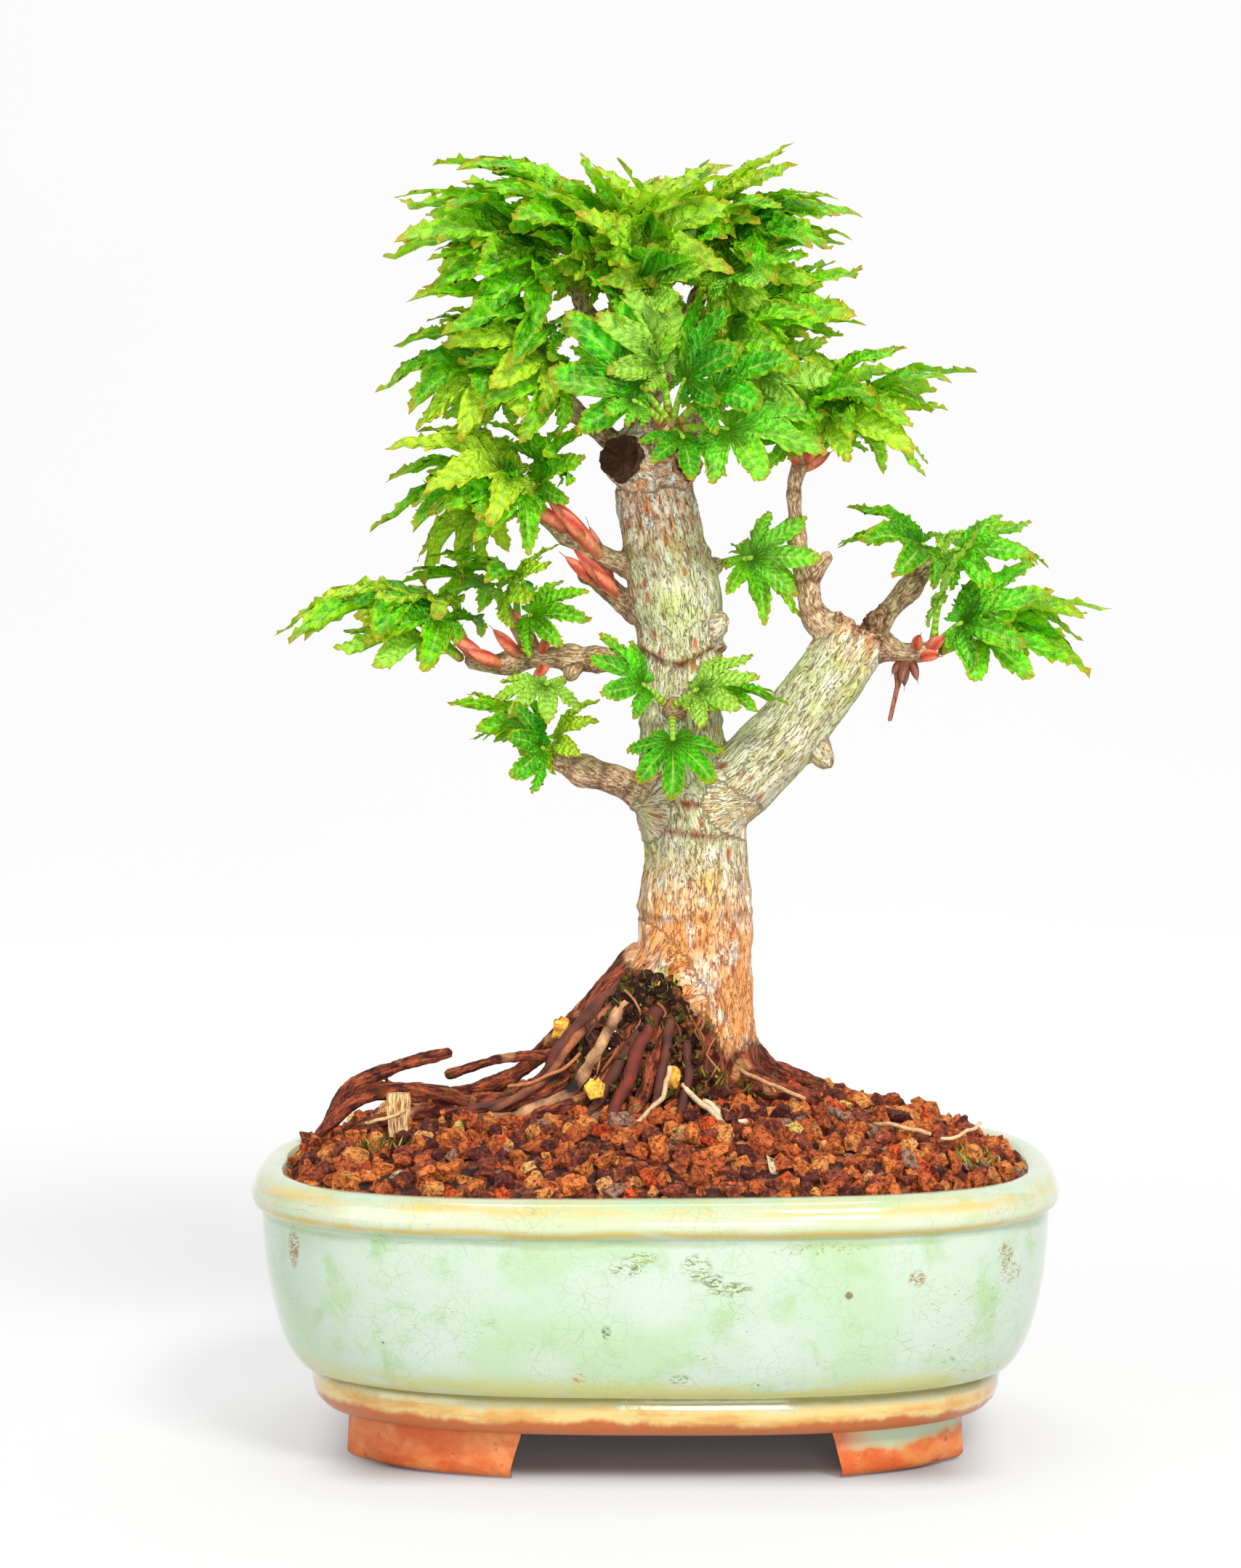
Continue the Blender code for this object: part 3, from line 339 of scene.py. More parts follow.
def principled(colour, roughness, normal=None, **more):
    shader = Wire.tree.nodes["Principled BSDF"]
    values = {"Base Color": colour, "Roughness": roughness}
    if normal:
        values["Normal"] = normal
    for key, value in {**values, **more}.items():
        feed(shader.inputs[key.replace("_", " ")], value)
    return Wire(shader.outputs[0])


def speckled(name, tints, scale, roughness, relief, grain=(1, 1, 1)):
    """A plain material: two tints by one noise of (scale, detail, roughness), which also is its relief."""
    mat = new_material(name)
    speck = noise_node(position(grain), *scale)
    colour = mix(step(speck, 0.36, 0.62), *(srgb(*tint) for tint in tints))
    principled(colour, roughness, bump(speck, relief[0], relief[1] * MM))
    return mat


def srgb(r, g, b):
    """A colour given as it looks, 0 to 255."""
    lit = [c / 255 / 12.92 if c <= 10 else ((c / 255 + 0.055) / 1.055) ** 2.4 for c in (r, g, b)]
    return (*lit, 1.0)


# ---------------------------------------------------------------- pot


def pot_profile():
    """(inset, z) in mm round the pot's section: up the outside, over the rim, down to the floor, and back
    under the base."""
    out = [(17.5, 8.5), (14.6, 8.5), (12.7, 9.1), (11.6, 10.3), (11.0, 11.8), (10.85, 13.2), (11.0, 14.5)]
    out += [(11.35, 15.3), (11.55, 15.75)]
    for k in range(1, 19):
        z = 15.9 + (45.4 - 15.9) * (k / 18) ** 1.3
        down = (46.0 - z) / (46.0 - 15.5)
        out.append((1.9 + (11.0 - 1.9) * (1 - math.sqrt(max(0.0, 1 - down * down))), z))
    out += [(1.2, 45.9), (0.45, 46.5), (0.1, 47.4), (0.0, 48.3), (0.25, 49.2), (0.55, 49.7), (0.62, 50.0)]
    out += [(0.75, 50.4), (1.2, 51.2), (2.0, 51.9), (3.2, 52.4), (4.6, 52.5), (5.7, 52.1), (6.4, 51.2)]
    out += [(6.9, 49.5), (7.1, 46.0)]
    out += [(7.4, 40.0), (9.0, 30.0), (12.5, 20.0), (16.4, 15.0), (20.0, 14.5), (50.0, 14.5)]
    return out


def plan_point(inset, z, angle):
    c, s = math.cos(angle), math.sin(angle)
    x = (HALF_X - inset) * math.copysign(abs(c) ** (2 / PLAN_POWER), c)
    y = (HALF_Y - inset) * math.copysign(abs(s) ** (2 / PLAN_POWER), s)
    return Vector((x, y, z))


def thrown(p):
    """The small unevenness of a hand-made pot."""
    n = noise.noise_vector(p * 22)
    sag = 0.6 * MM * math.sin(p.x * 31 + 0.6) * max(0.0, p.z / POT_TOP) ** 2
    grow = 1 + 0.004 * n.x
    return Vector((POT_X + p.x * grow, POT_Y + p.y * grow, p.z + sag * 0.6))


def make_pot():
    sides = 224
    rings = [(i * MM, z * MM) for i, z in pot_profile()]
    verts = []
    for inset, z in rings:
        for k in range(sides):
            # even spacing by angle reads better at the tight corners than the plan's own parameter
            verts.append(thrown(plan_point(inset, z, 2 * math.pi * (k + 0.5) / sides)))
    faces = []
    for i in range(len(rings) - 1):
        for k in range(sides):
            a, b = i * sides + k, i * sides + (k + 1) % sides
            faces.append((a, b, b + sides, a + sides))
    faces.append(tuple((len(rings) - 1) * sides + k for k in range(sides)))
    faces.append(tuple(reversed(range(sides))))
    pot = mesh_object("celadon_pot", verts, faces, glaze_material())
    sharp_corners(pot)
    return keep(pot, "glaze", "pot")


def sharp_corners(obj, degrees=50):
    obj.data.set_sharp_from_angle(angle=math.radians(degrees))


def make_feet():
    """Four bracket feet: each a block that follows the plan's corner, with slanted ends and worn edges."""
    look = clay_material()
    inset, width, height = 16 * MM, 11 * MM, 9.2 * MM
    for number, (sx, sy) in enumerate(((-1, -1), (1, -1), (1, 1), (-1, 1))):
        end_x = 23.5 * MM if sx < 0 else 31.5 * MM
        end_y = 20 * MM
        outer = foot_angle(inset, end_x, 0, sx, sy), foot_angle(inset, end_y, 1, sx, sy)
        inner = foot_angle(inset + width, end_x, 0, sx, sy), foot_angle(inset + width, end_y, 1, sx, sy)
        along, levels = 40, [0.0, 0.05, 0.14, 0.3, 0.5, 0.75, 1.0]
        rows = []
        for level in levels:
            z = height * level
            round_in = 1.5 * MM * (1 - min(1.0, level / 0.14)) ** 2
            slant = 2.5 * MM * (1 - level)
            row = []
            edges = (inset + round_in, outer, 1), (inset + width - round_in * 0.5, inner, -1)
            for ring, (a0, a1), sign in edges:
                line = []
                for k in range(along + 1):
                    share = k / along
                    a = a0 + (a1 - a0) * share
                    p = plan_point(ring, z, a)
                    near0, near1 = max(0.0, 1 - share * 5), max(0.0, 1 - (1 - share) * 5)
                    p.x += sx * slant * near0
                    p.y += sy * slant * near1
                    line.append(p)
                row += line if sign > 0 else line[::-1]
            rows.append(row)
        count = len(rows[0])
        verts = []
        for row in rows:
            for p in row:
                n = noise.noise_vector(p * 150)
                verts.append(thrown(p) + n * 0.35 * MM * (1 if p.z > 0.001 else 0.0))
        faces = []
        for i in range(len(rows) - 1):
            for k in range(count):
                a, b = i * count + k, i * count + (k + 1) % count
                faces.append((a, b, b + count, a + count))
        faces.append(tuple(reversed(range(count))))
        faces.append(tuple((len(rows) - 1) * count + k for k in range(count)))
        foot = mesh_object(f"foot_{number + 1}", verts, faces, look)
        sharp_corners(foot, 55)
        keep(foot, "glaze")


def foot_angle(inset, limit, axis, sx, sy):
    """The plan's parameter where a foot ends: axis 0 along x, 1 along y."""
    half = (HALF_X if axis == 0 else HALF_Y) - inset
    share = (limit / half) ** (PLAN_POWER / 2)
    base = math.acos(share) if axis == 0 else math.asin(share)
    return {(1, 1): base, (-1, 1): math.pi - base, (-1, -1): math.pi + base, (1, -1): -base}[(sx, sy)]


# Where the glaze is stained: (x, z, half width, half height, how much, colour), in mm on the front wall.
STAINS = [
    (-4.6, 40.8, 2.6, 1.5, 0.54, (120, 150, 14)),
    (-2.0, 42.6, 2.2, 0.9, 0.52, (150, 176, 40)),
    (7.4, 40.8, 2.2, 2.0, 0.52, (140, 156, 16)),
    (13.2, 37.0, 3.2, 1.2, 0.53, (130, 152, 24)),
    (10.2, 38.6, 1.6, 1.0, 0.52, (104, 124, 10)),
    (29.0, 44.0, 7.0, 1.1, 0.57, (160, 182, 80)),
    (46.0, 38.0, 1.3, 1.3, 0.50, (170, 136, 40)),
    (62.5, 40.5, 1.2, 2.2, 0.52, (156, 136, 12)),
    (63.5, 37.0, 1.8, 1.6, 0.54, (176, 150, 30)),
    (-64.6, 41.0, 0.9, 3.0, 0.50, (170, 124, 30)),
    (-8.4, 29.2, 0.7, 1.0, 0.50, (96, 130, 40)),
    (-13.2, 20.6, 1.1, 0.8, 0.50, (220, 124, 30)),
    (4.4, 20.4, 1.5, 0.8, 0.52, (130, 156, 50)),
    (34.0, 35.6, 0.6, 0.6, 0.46, (130, 106, 30)),
    (56.0, 28.0, 9.0, 9.0, 0.64, (150, 150, 40)),
    (-40.0, 33.0, 14.0, 9.0, 0.66, (160, 176, 70)),
    (20.0, 28.0, 16.0, 9.0, 0.67, (150, 166, 60)),
]


def glaze_material():
    """Pale celadon: cloudy, crackled, ochre where it runs thin over edges, orange clay at the base."""
    mat = new_material("celadon_glaze")
    mm = position()
    x, y, z = split(mm)
    cloud = noise_node(scaled(mm, (1, 1, 1.3)), 0.030, 3, 0.5, 0.8)
    fine = noise_node(mm, 0.14, 5, 0.62, 0.4)
    colour = mix(step(cloud, 0.40, 0.62), srgb(204, 238, 200), srgb(216, 242, 226))
    colour = over(colour, srgb(192, 230, 180), fine, 0.48, 0.72)
    spots = cells(warped(mm, 6.0, Scale=0.06), 0.05)
    colour = over(colour, srgb(226, 246, 240), spots, 0.42, 0.08, 0.70)
    wobble = (noise_node(mm, 0.05, 4) - 0.5) * 2.6
    level = z + wobble
    thin = noise_node(scaled(mm, (0.5, 0.5, 2.5)), 0.10, 4, 0.6)

    def band(centre, width, strength, tint, colour, patchy=(0.35, 0.60)):
        up = step(level, centre - width, centre)
        down = step(level, centre + width, centre)
        share = step(thin, *patchy) * strength
        return mix(up * down * share, colour, tint)

    colour = band(50.6, 1.6, 0.95, srgb(250, 218, 130), colour)
    # paler cream over the rim roll: thinner glaze there, and partly a painted highlight on the roll
    colour = band(48.6, 3.2, 0.5, srgb(246, 246, 206), colour, (0.2, 0.4))
    colour = band(46.6, 1.3, 1.0, srgb(226, 206, 116), colour, (0.30, 0.50))
    colour = band(52.2, 0.8, 0.6, srgb(240, 226, 170), colour)
    colour = band(44.6, 0.9, 0.5, srgb(170, 200, 140), colour)
    colour = band(17.6, 4.2, 0.95, srgb(222, 226, 140), colour, (0.30, 0.52))
    colour = over(colour, srgb(246, 232, 176), level, 16.0, 14.8, 0.55)
    colour = band(15.4, 1.0, 0.8, srgb(176, 170, 90), colour, (0.2, 0.4))
    run = (noise_node(scaled(mm, (1, 1, 0.4)), 0.11, 5, 0.65) - 0.5) * 5.0
    level = level + run
    colour = over(colour, srgb(255, 226, 150), level, 15.0, 13.0)
    burnt = step(level, 14.2, 12.6) * step(thin, 0.44, 0.60, 0.0, 0.75)
    colour = mix(burnt, colour, srgb(236, 168, 70))
    colour = over(colour, srgb(214, 112, 34), level, 12.0, 10.6)
    # crackle, coarse and fine
    crack = cells(mm, 0.40, "DISTANCE_TO_EDGE")
    hair = cells(mm, 1.1, "DISTANCE_TO_EDGE")
    line = step(crack, 0.030, 0.0)
    amount = line * step(noise_node(mm, 0.09, 2), 0.40, 0.6, 0.0, 0.34)
    colour = mix(amount, colour, srgb(126, 178, 128))
    colour = mix(step(hair, 0.05, 0.0) * 0.14, colour, srgb(130, 180, 134))
    glazed = step(level, 16.0, 17.0)
    stain = noise_node(scaled(mm, (0.6, 1.0, 1.4)), 0.95, 5, 0.7, 1.4)
    front = step(y, -30.0, -34.0)
    for at_x, at_z, wide, tall, sparse, tint in STAINS:
        dx = (x - (at_x + POT_X / MM)) / wide
        dz = (z - at_z) / tall
        away = dx * dx + dz * dz
        mask = step(away, 2.2, 0.4) * front
        mask = mask * step(stain, sparse - 0.03, sparse + 0.01)
        colour = mix(mask * 0.9, colour, srgb(*tint))
    dots = cells(mm, 0.30)
    chosen = step(split(cells(mm, 0.30, output="Color"))[0], 0.84, 0.86)
    swarm = step(noise_node(mm, 0.05, 2, 0.5), 0.50, 0.60)
    dot = step(dots, 0.12, 0.06) * chosen * (swarm * glazed)
    colour = mix(dot * 0.8, colour, srgb(104, 110, 44))
    colour = mix(1.0, colour, (0.69, 0.65, 0.61, 1), "MULTIPLY")
    soft = bump(noise_node(mm, 0.07, 3), 0.4, 0.6 * MM)
    normal = bump(line, -0.06, 0.1 * MM, bump(noise_node(mm, 0.7, 4), 0.07, 0.25 * MM, soft))
    shine = mix(step(level, 12.2, 10.0), (0.12, 0.12, 0.12, 1), (0.40, 0.40, 0.40, 1))
    principled(colour, shine, normal, Coat_Weight=0.35, Coat_Roughness=0.06, IOR=1.5)
    return mat


def clay_material():
    """Bare orange stoneware, with a run of glaze over the top of the feet on one side."""
    mat = new_material("bare_clay")
    mm = position()
    x, _, z = split(mm)
    blotch = noise_node(mm, 0.12, 5, 0.62, 0.4)
    colour = mix(step(blotch, 0.36, 0.64), srgb(236, 106, 40), srgb(255, 160, 90))
    colour = over(colour, srgb(255, 190, 130), noise_node(mm, 0.5, 4), 0.62, 0.75, 0.6)
    colour = over(colour, srgb(140, 56, 24), noise_node(mm, 0.35, 3), 0.36, 0.28, 0.6)
    edge = (noise_node(mm, 0.085, 3) - 0.5) * 9.0
    run = step(z + edge, 4.8, 6.2) * step(x, 26.0, 36.0)
    colour = mix(run, colour, srgb(214, 236, 206))
    rim = run * step(z + edge, 7.0, 5.4)
    colour = mix(rim * 0.7, colour, srgb(238, 190, 116))
    colour = mix(1.0, colour, (0.68, 0.66, 0.60, 1), "MULTIPLY")
    normal = bump(noise_node(mm, 1.3, 6, 0.65), 0.35, 0.25 * MM, bump(blotch, 0.5, 0.8 * MM))
    rough = mix(run, (0.42, 0.42, 0.42, 1), (0.14, 0.14, 0.14, 1))
    principled(colour, rough, normal)
    return mat


# ---------------------------------------------------------------- soil


def plan_share(x, y, inset):
    """Below 1 inside the pot's plan, taken in by inset."""
    return abs(x / (HALF_X - inset)) ** PLAN_POWER + abs(y / (HALF_Y - inset)) ** PLAN_POWER


def soil_top(x, y):
    """The soil's height in the pot's own plan, with the mound carried over the socket."""
    edge, rise, power = 50.7 * MM, 11 * MM, 3.5
    out = plan_share(x, y, 7.8 * MM) ** (1 / PLAN_POWER)
    return edge + rise * (1 - min(1.0, out) ** power)


def stone_shapes(count, level=2):
    """Unit stones: a ball cut by planes and roughened."""
    shapes = []
    for _ in range(count):
        bm = bmesh.new()
        bmesh.ops.create_icosphere(bm, subdivisions=level, radius=1.0)
        planes = []
        for _ in range(11):
            n = Vector((RNG.gauss(0, 1), RNG.gauss(0, 1), RNG.gauss(0, 1))).normalized()
            planes.append((n, RNG.uniform(0.36, 0.80)))
        shift = Vector((RNG.uniform(0, 50),) * 3)
        verts = []
        for v in bm.verts:
            p = v.co.copy()
            for n, d in planes:
                over = p.dot(n) - d
                if over > 0:
                    p -= n * over
            p *= 1.14 + 0.50 * noise.noise(p * 2.2 + shift)
            verts.append(p)
        shapes.append((verts, [tuple(v.index for v in f.verts) for f in bm.faces]))
        bm.free()
    return shapes


GRAIN_TONES = [
    ((208, 102, 50), 25), ((156, 74, 50), 19), ((240, 132, 62), 18), ((250, 158, 82), 9),
    ((244, 176, 108), 3), ((108, 50, 42), 12), ((180, 134, 112), 4), ((232, 92, 42), 5),
    ((250, 220, 176), 0.9), ((244, 206, 110), 0.4),
]


def pick_tone():
    total = sum(w for _, w in GRAIN_TONES)
    at = RNG.uniform(0, total)
    for tone, weight in GRAIN_TONES:
        at -= weight
        if at <= 0:
            break
    k = RNG.uniform(0.8, 1.2)
    return tuple(min(1.0, c * k) for c in srgb(*tone)[:3]) + (1.0,)


def random_turn():
    axis = Vector((RNG.gauss(0, 1), RNG.gauss(0, 1), RNG.gauss(0, 1))).normalized()
    return Matrix.Rotation(RNG.uniform(0, 2 * math.pi), 3, axis)


def make_soil():
    shapes = stone_shapes(26)
    soup = Soup()

    def put(x, y, z, size):
        verts, faces = RNG.choice(shapes)
        turn = random_turn()
        squash = Vector((RNG.uniform(0.85, 1.25), RNG.uniform(0.8, 1.1), RNG.uniform(0.7, 0.95)))
        at = Vector((POT_X + x, POT_Y + y, z))
        soup.add([at + turn @ (v * squash) * size / 2 for v in verts], faces, pick_tone())

    for layer, lift in ((0, -1.1 * MM), (1, 0.5 * MM), (2, 1.7 * MM)):
        step_size = (3.3 if layer == 0 else 3.7 if layer == 1 else 6.4) * MM
        nx = int(HALF_X / step_size) + 1
        ny = int(HALF_Y / step_size) + 1
        for i in range(-nx, nx + 1):
            for j in range(-ny, ny + 1):
                x = (i + 0.5 * (j % 2)) * step_size + RNG.uniform(-1, 1) * 1.2 * MM
                y = j * step_size * 0.9 + RNG.uniform(-1, 1) * 1.2 * MM
                if plan_share(x, y, 7.6 * MM) >= 1:
                    continue
                size = RNG.uniform(2.6, 5.2) * MM * (1.0 if layer else 1.1)
                if layer == 2 and RNG.random() < 0.35:
                    continue
                near = ((x - 6 * MM) ** 2 + (y + 2 * MM) ** 2) ** 0.5
                heap = 3.5 * MM * max(0.0, 1 - near / (24 * MM))
                put(x, y, soil_top(x, y) + lift + heap + RNG.uniform(-0.5, 0.5) * MM, size)
    grains = soup.build("soil_grains", grain_material())
    sharp_corners(grains, 30)
    keep(grains, "soil")
    set_look(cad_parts["soil"], dark_soil_material())


def grain_material():
    mat = new_material("baked_clay_grains")
    mm = position()
    tone = attribute("tone", "Color")
    pits = cells(mm, 1.6)
    speck = noise_node(mm, 1.1, 6, 0.74)
    colour = mix(step(speck, 0.38, 0.56), mix(0.84, tone, (0.02, 0.006, 0.003, 1)), tone)
    colour = mix(step(speck, 0.56, 0.70, 0.0, 0.75), colour, mix(0.55, tone, (1.0, 0.55, 0.26, 1)))
    # painted shade: the dents of the pits are darkened nearly to black
    colour = mix(step(pits, 0.30, 0.10, 0.0, 0.55), colour, (0.03, 0.010, 0.006, 1))
    normal = bump(speck, 0.9, 0.8 * MM, bump(pits, 0.6, 0.5 * MM))
    principled(colour, 0.85, normal, Specular_IOR_Level=0.25)
    return mat


def dark_soil_material():
    mat = new_material("soil_bed")
    mm = position()
    lumps = cells(mm, 0.42)
    tint = split(cells(mm, 0.42, output="Color"))[0]
    colour = mix(tint, srgb(92, 44, 32), srgb(206, 108, 54))
    # painted shade: darker in the low gaps between the lumps
    colour = over(colour, srgb(54, 22, 16), lumps, 0.34, 0.60)
    colour = over(colour, srgb(50, 20, 14), noise_node(mm, 1.1, 5, 0.7), 0.56, 0.40, 0.7)
    principled(colour, 0.95, bump(1.0 - lumps, 1.0, 2.0 * MM))
    return mat


# ---------------------------------------------------------------- tree

TRUNK = [
    (8.5, 0, 60, 10.6), (8.4, 0, 66, 10.9), (7.4, 0, 78, 10.8), (7.4, 0, 94, 10.7), (7.6, 0, 104, 9.8),
    (6.6, 0, 113, 10.4), (4.9, 0, 121, 8.2), (4.7, 0, 132, 7.6), (4.6, 0.3, 142, 8.0), (3.6, 0.5, 152, 8.8),
    (1.4, 0.6, 163, 7.8), (-0.6, 0.6, 174, 7.2), (-1.3, 0.8, 180, 6.9), (-1.4, 1.2, 182.5, 5.6),
]
LIMB = [
    (8.5, 0, 112, 7.0), (13.5, -0.5, 115.5, 7.2), (18.5, -1, 120.5, 7.0), (24, -1.4, 126, 6.8),
    (29.5, -1.5, 133.2, 6.7), (34.5, -1.4, 140.2, 6.6), (38.2, -1.2, 146.2, 6.5),
]
STUBS = {
    "front_stub": [(-1, 1, 174, 5.0), (-4.6, -4, 176.6, 4.6), (-6.7, -8.6, 177.8, 4.3)],
    "side_stub": [(1, 0, 173.5, 4.4), (4.4, -4.6, 175.4, 3.4), (6.0, -7.8, 176.6, 3.0)],
    "limb_knob": [(29.5, -2, 124.5, 3.2), (31.6, -2.6, 121.2, 2.1)],
    "limb_spur": [(32.5, -2, 142, 3.0), (30.2, -3.2, 141.2, 2.0)],
    "trunk_scar": [(10.5, -2.5, 146.5, 3.4), (12.2, -2.5, 147.5, 2.2)],
    "collar_left": [(2, -2, 112.5, 7.6), (-0.6, -2.5, 112.6, 4.2)],
    "collar_right": [(11, -3, 112.5, 7.0), (15.4, -3, 113.4, 4.6)],
}
TWIGS = {
    "leader": [(-1.5, 2, 180, 4.2), (-2.5, 3.5, 189, 3.0), (-3.4, 2.2, 197, 2.5), (-5.7, -1.5, 203, 2.1)],
    "top_right": [(-2.4, 3.5, 187, 2.6), (3.0, 6.5, 195, 2.3), (6.2, 7.4, 203, 2.0), (8, 6.4, 209, 1.9)],
    "top_left": [(-2.8, 3.2, 190, 2.5), (-8.5, 4.6, 197, 2.2), (-12.6, 3.6, 204, 2.0), (-14.5, 2, 209, 1.9)],
    "top_back": [(-2.2, 4, 184, 2.6), (-2.6, 9.6, 190, 2.2), (-2, 13, 197, 1.9)],
    "mid_right": [(1.5, 1, 178, 3.0), (6.4, 0.6, 183.5, 2.4), (10.4, 0.2, 187.4, 2.0), (13.4, 0, 191, 1.9)],
    "mid_left": [(-4, 1.5, 177, 3.0), (-10, 1.6, 182.6, 2.3), (-15, 0.8, 186.4, 2.0), (-19, 0, 190, 1.9)],
    "front": [(0, -2, 178, 3.0), (1.6, -6.6, 180.6, 2.2), (3, -10, 183.4, 1.9)],
    "limb_upright": [
        (33.2, -1.6, 143.5, 2.9), (29.2, -1.6, 149.5, 2.4), (28.2, -1.4, 154.5, 2.5),
        (26.6, -1.2, 160.5, 1.9), (25.9, -1, 167, 1.5), (25.8, -1, 173, 1.6), (27.4, -1.4, 178, 1.9),
    ],
    "limb_upright_spur": [(28.4, -1.4, 155, 2.2), (31.0, -2, 158.2, 1.6), (32.0, -2, 159.6, 1.4)],
    "limb_right": [
        (40.5, -0.8, 146, 3.0), (44.6, 0.4, 150.6, 2.3), (48.6, 1.4, 155, 2.0), (52, 2, 158.6, 1.8),
    ],
    "limb_low": [(41.5, -2, 143, 3.0), (46.2, -2.8, 141.6, 2.3), (51, -3, 142, 2.1)],
    "left_high": [
        (-4.5, -1, 157.5, 2.8), (-10.4, -2, 160, 2.1), (-15.4, -2.8, 163, 1.9), (-21, -3, 167.4, 1.8),
    ],
    "left_back": [(-3, 3, 148.7, 3.0), (-8.4, 4.4, 153.2, 2.4), (-13, 5.2, 157, 2.1)],
    "left_level": [
        (0, -1, 140.3, 3.4), (-6, -1, 140.3, 2.3), (-12, -1, 140.4, 2.2), (-15.4, -1.2, 140.8, 2.9),
        (-19, -1.2, 140.8, 2.2), (-24, -1, 140.6, 2.3), (-29, -1, 139.4, 2.1), (-34.4, -1.4, 140.4, 2.1),
    ],
    "left_level_rise": [(-22, -1, 140.8, 2.1), (-24.4, 0, 144, 1.9), (-26, 0.8, 147, 1.8)],
    "left_level_drop": [(-14.6, -1.2, 140, 2.2), (-16, -2.6, 137.4, 1.8)],
    "left_low": [(1, -2, 113.5, 5.0), (-6, -3, 117.4, 3.3), (-13, -4, 119.6, 2.8), (-19, -4.6, 122, 2.1)],
    "trunk_bud": [(4, -6, 131, 2.6), (3, -9.6, 131.6, 1.9)],
    "right_bud": [(8, 2, 156, 3.0), (11.5, 4.2, 158, 2.0)],
}
ROOTS = {
    "root_long": [
        (0, -1, 84, 4.2), (-7.4, -3, 79.6, 2.3), (-13, -5, 73, 1.9), (-17.4, -6.4, 66, 1.7),
        (-24, -8, 60, 1.6), (-35, -10, 58, 1.5), (-47, -11, 56, 1.4), (-57, -10, 53, 1.3),
    ],
    "root_long_twin": [
        (-1, -4, 83, 3.0), (-8.4, -8, 77, 1.5), (-12.4, -9, 68, 1.5), (-18, -11, 62, 1.4),
        (-28, -14, 58, 1.4), (-38, -15, 57, 1.2),
    ],
    "root_back_left": [
        (-2, 4, 84, 4.0), (-12, 6, 75, 2.2), (-20, 8, 67, 1.8), (-29, 9, 60, 1.6), (-42, 8, 57, 1.4),
    ],
    "root_stilt_1": [
        (1, -7, 81, 2.6), (-4.4, -11, 72, 1.4), (-7.8, -13, 65, 1.4), (-13, -16, 60, 1.3),
        (-22, -19, 57, 1.1),
    ],
    "root_stilt_2": [(3, -9, 76, 2.0), (0.4, -13, 70, 1.5), (-1.6, -16, 62, 1.5), (-4, -20, 58, 1.3)],
    "root_right": [(14, -3, 64, 4.2), (20, -5, 61, 2.4), (24.5, -6, 60, 1.8), (30, -6.6, 58.6, 1.3)],
    "root_back": [(7, 6, 72, 4.4), (8, 14, 64, 2.8), (12, 24, 58, 1.6)],
    "root_back_right": [(13, 5, 70, 4.2), (21, 11, 62, 2.6), (32, 17, 58, 1.5)],
    "root_back_far": [(-1, 7, 74, 4.0), (-8, 15, 63, 2.4), (-18, 24, 58, 1.5)],
    "root_arch": [
        (-34, -11, 58.6, 1.4), (-41, -12, 60.6, 1.5), (-49, -12.6, 61, 1.5), (-56, -13, 58.6, 1.4),
        (-62, -13, 53, 1.3),
    ],
    "root_free": [(-60, -12, 55, 1.5), (-56.4, -12.6, 61.6, 1.3), (-46, -13, 66, 1.2), (-38, -13, 68, 1.1)],
    "root_thin": [(-15, -6.4, 67, 1.3), (-28, -8, 66.4, 1.0), (-38.5, -9, 63.4, 1.0)],
    "root_core_left": [(3, 0, 79, 6.6), (0, -1, 72, 6.2), (-3, -1, 64, 6.4)],
    "root_core_front": [(3.4, -2.6, 72, 6.8), (3.4, -4, 64, 8.2)],
}
CUT = {"front_stub", "side_stub", "limb"}


def listed(x, y, z):
    """A listed point of the tree in the frame's metres."""
    return Vector((POT_X + x * MM, POT_Y + y * MM, (z + TREE_RISE) * MM))


def wood_path(points, over_soil):
    path = smooth_path([(listed(x, y, z), r * MM) for x, y, z, r in points], 1.1 * MM)
    if over_soil:
        for p, r in path:
            p.z = max(p.z, soil_top(p.x - POT_X, p.y - POT_Y) + r + 0.6 * MM)
    return path


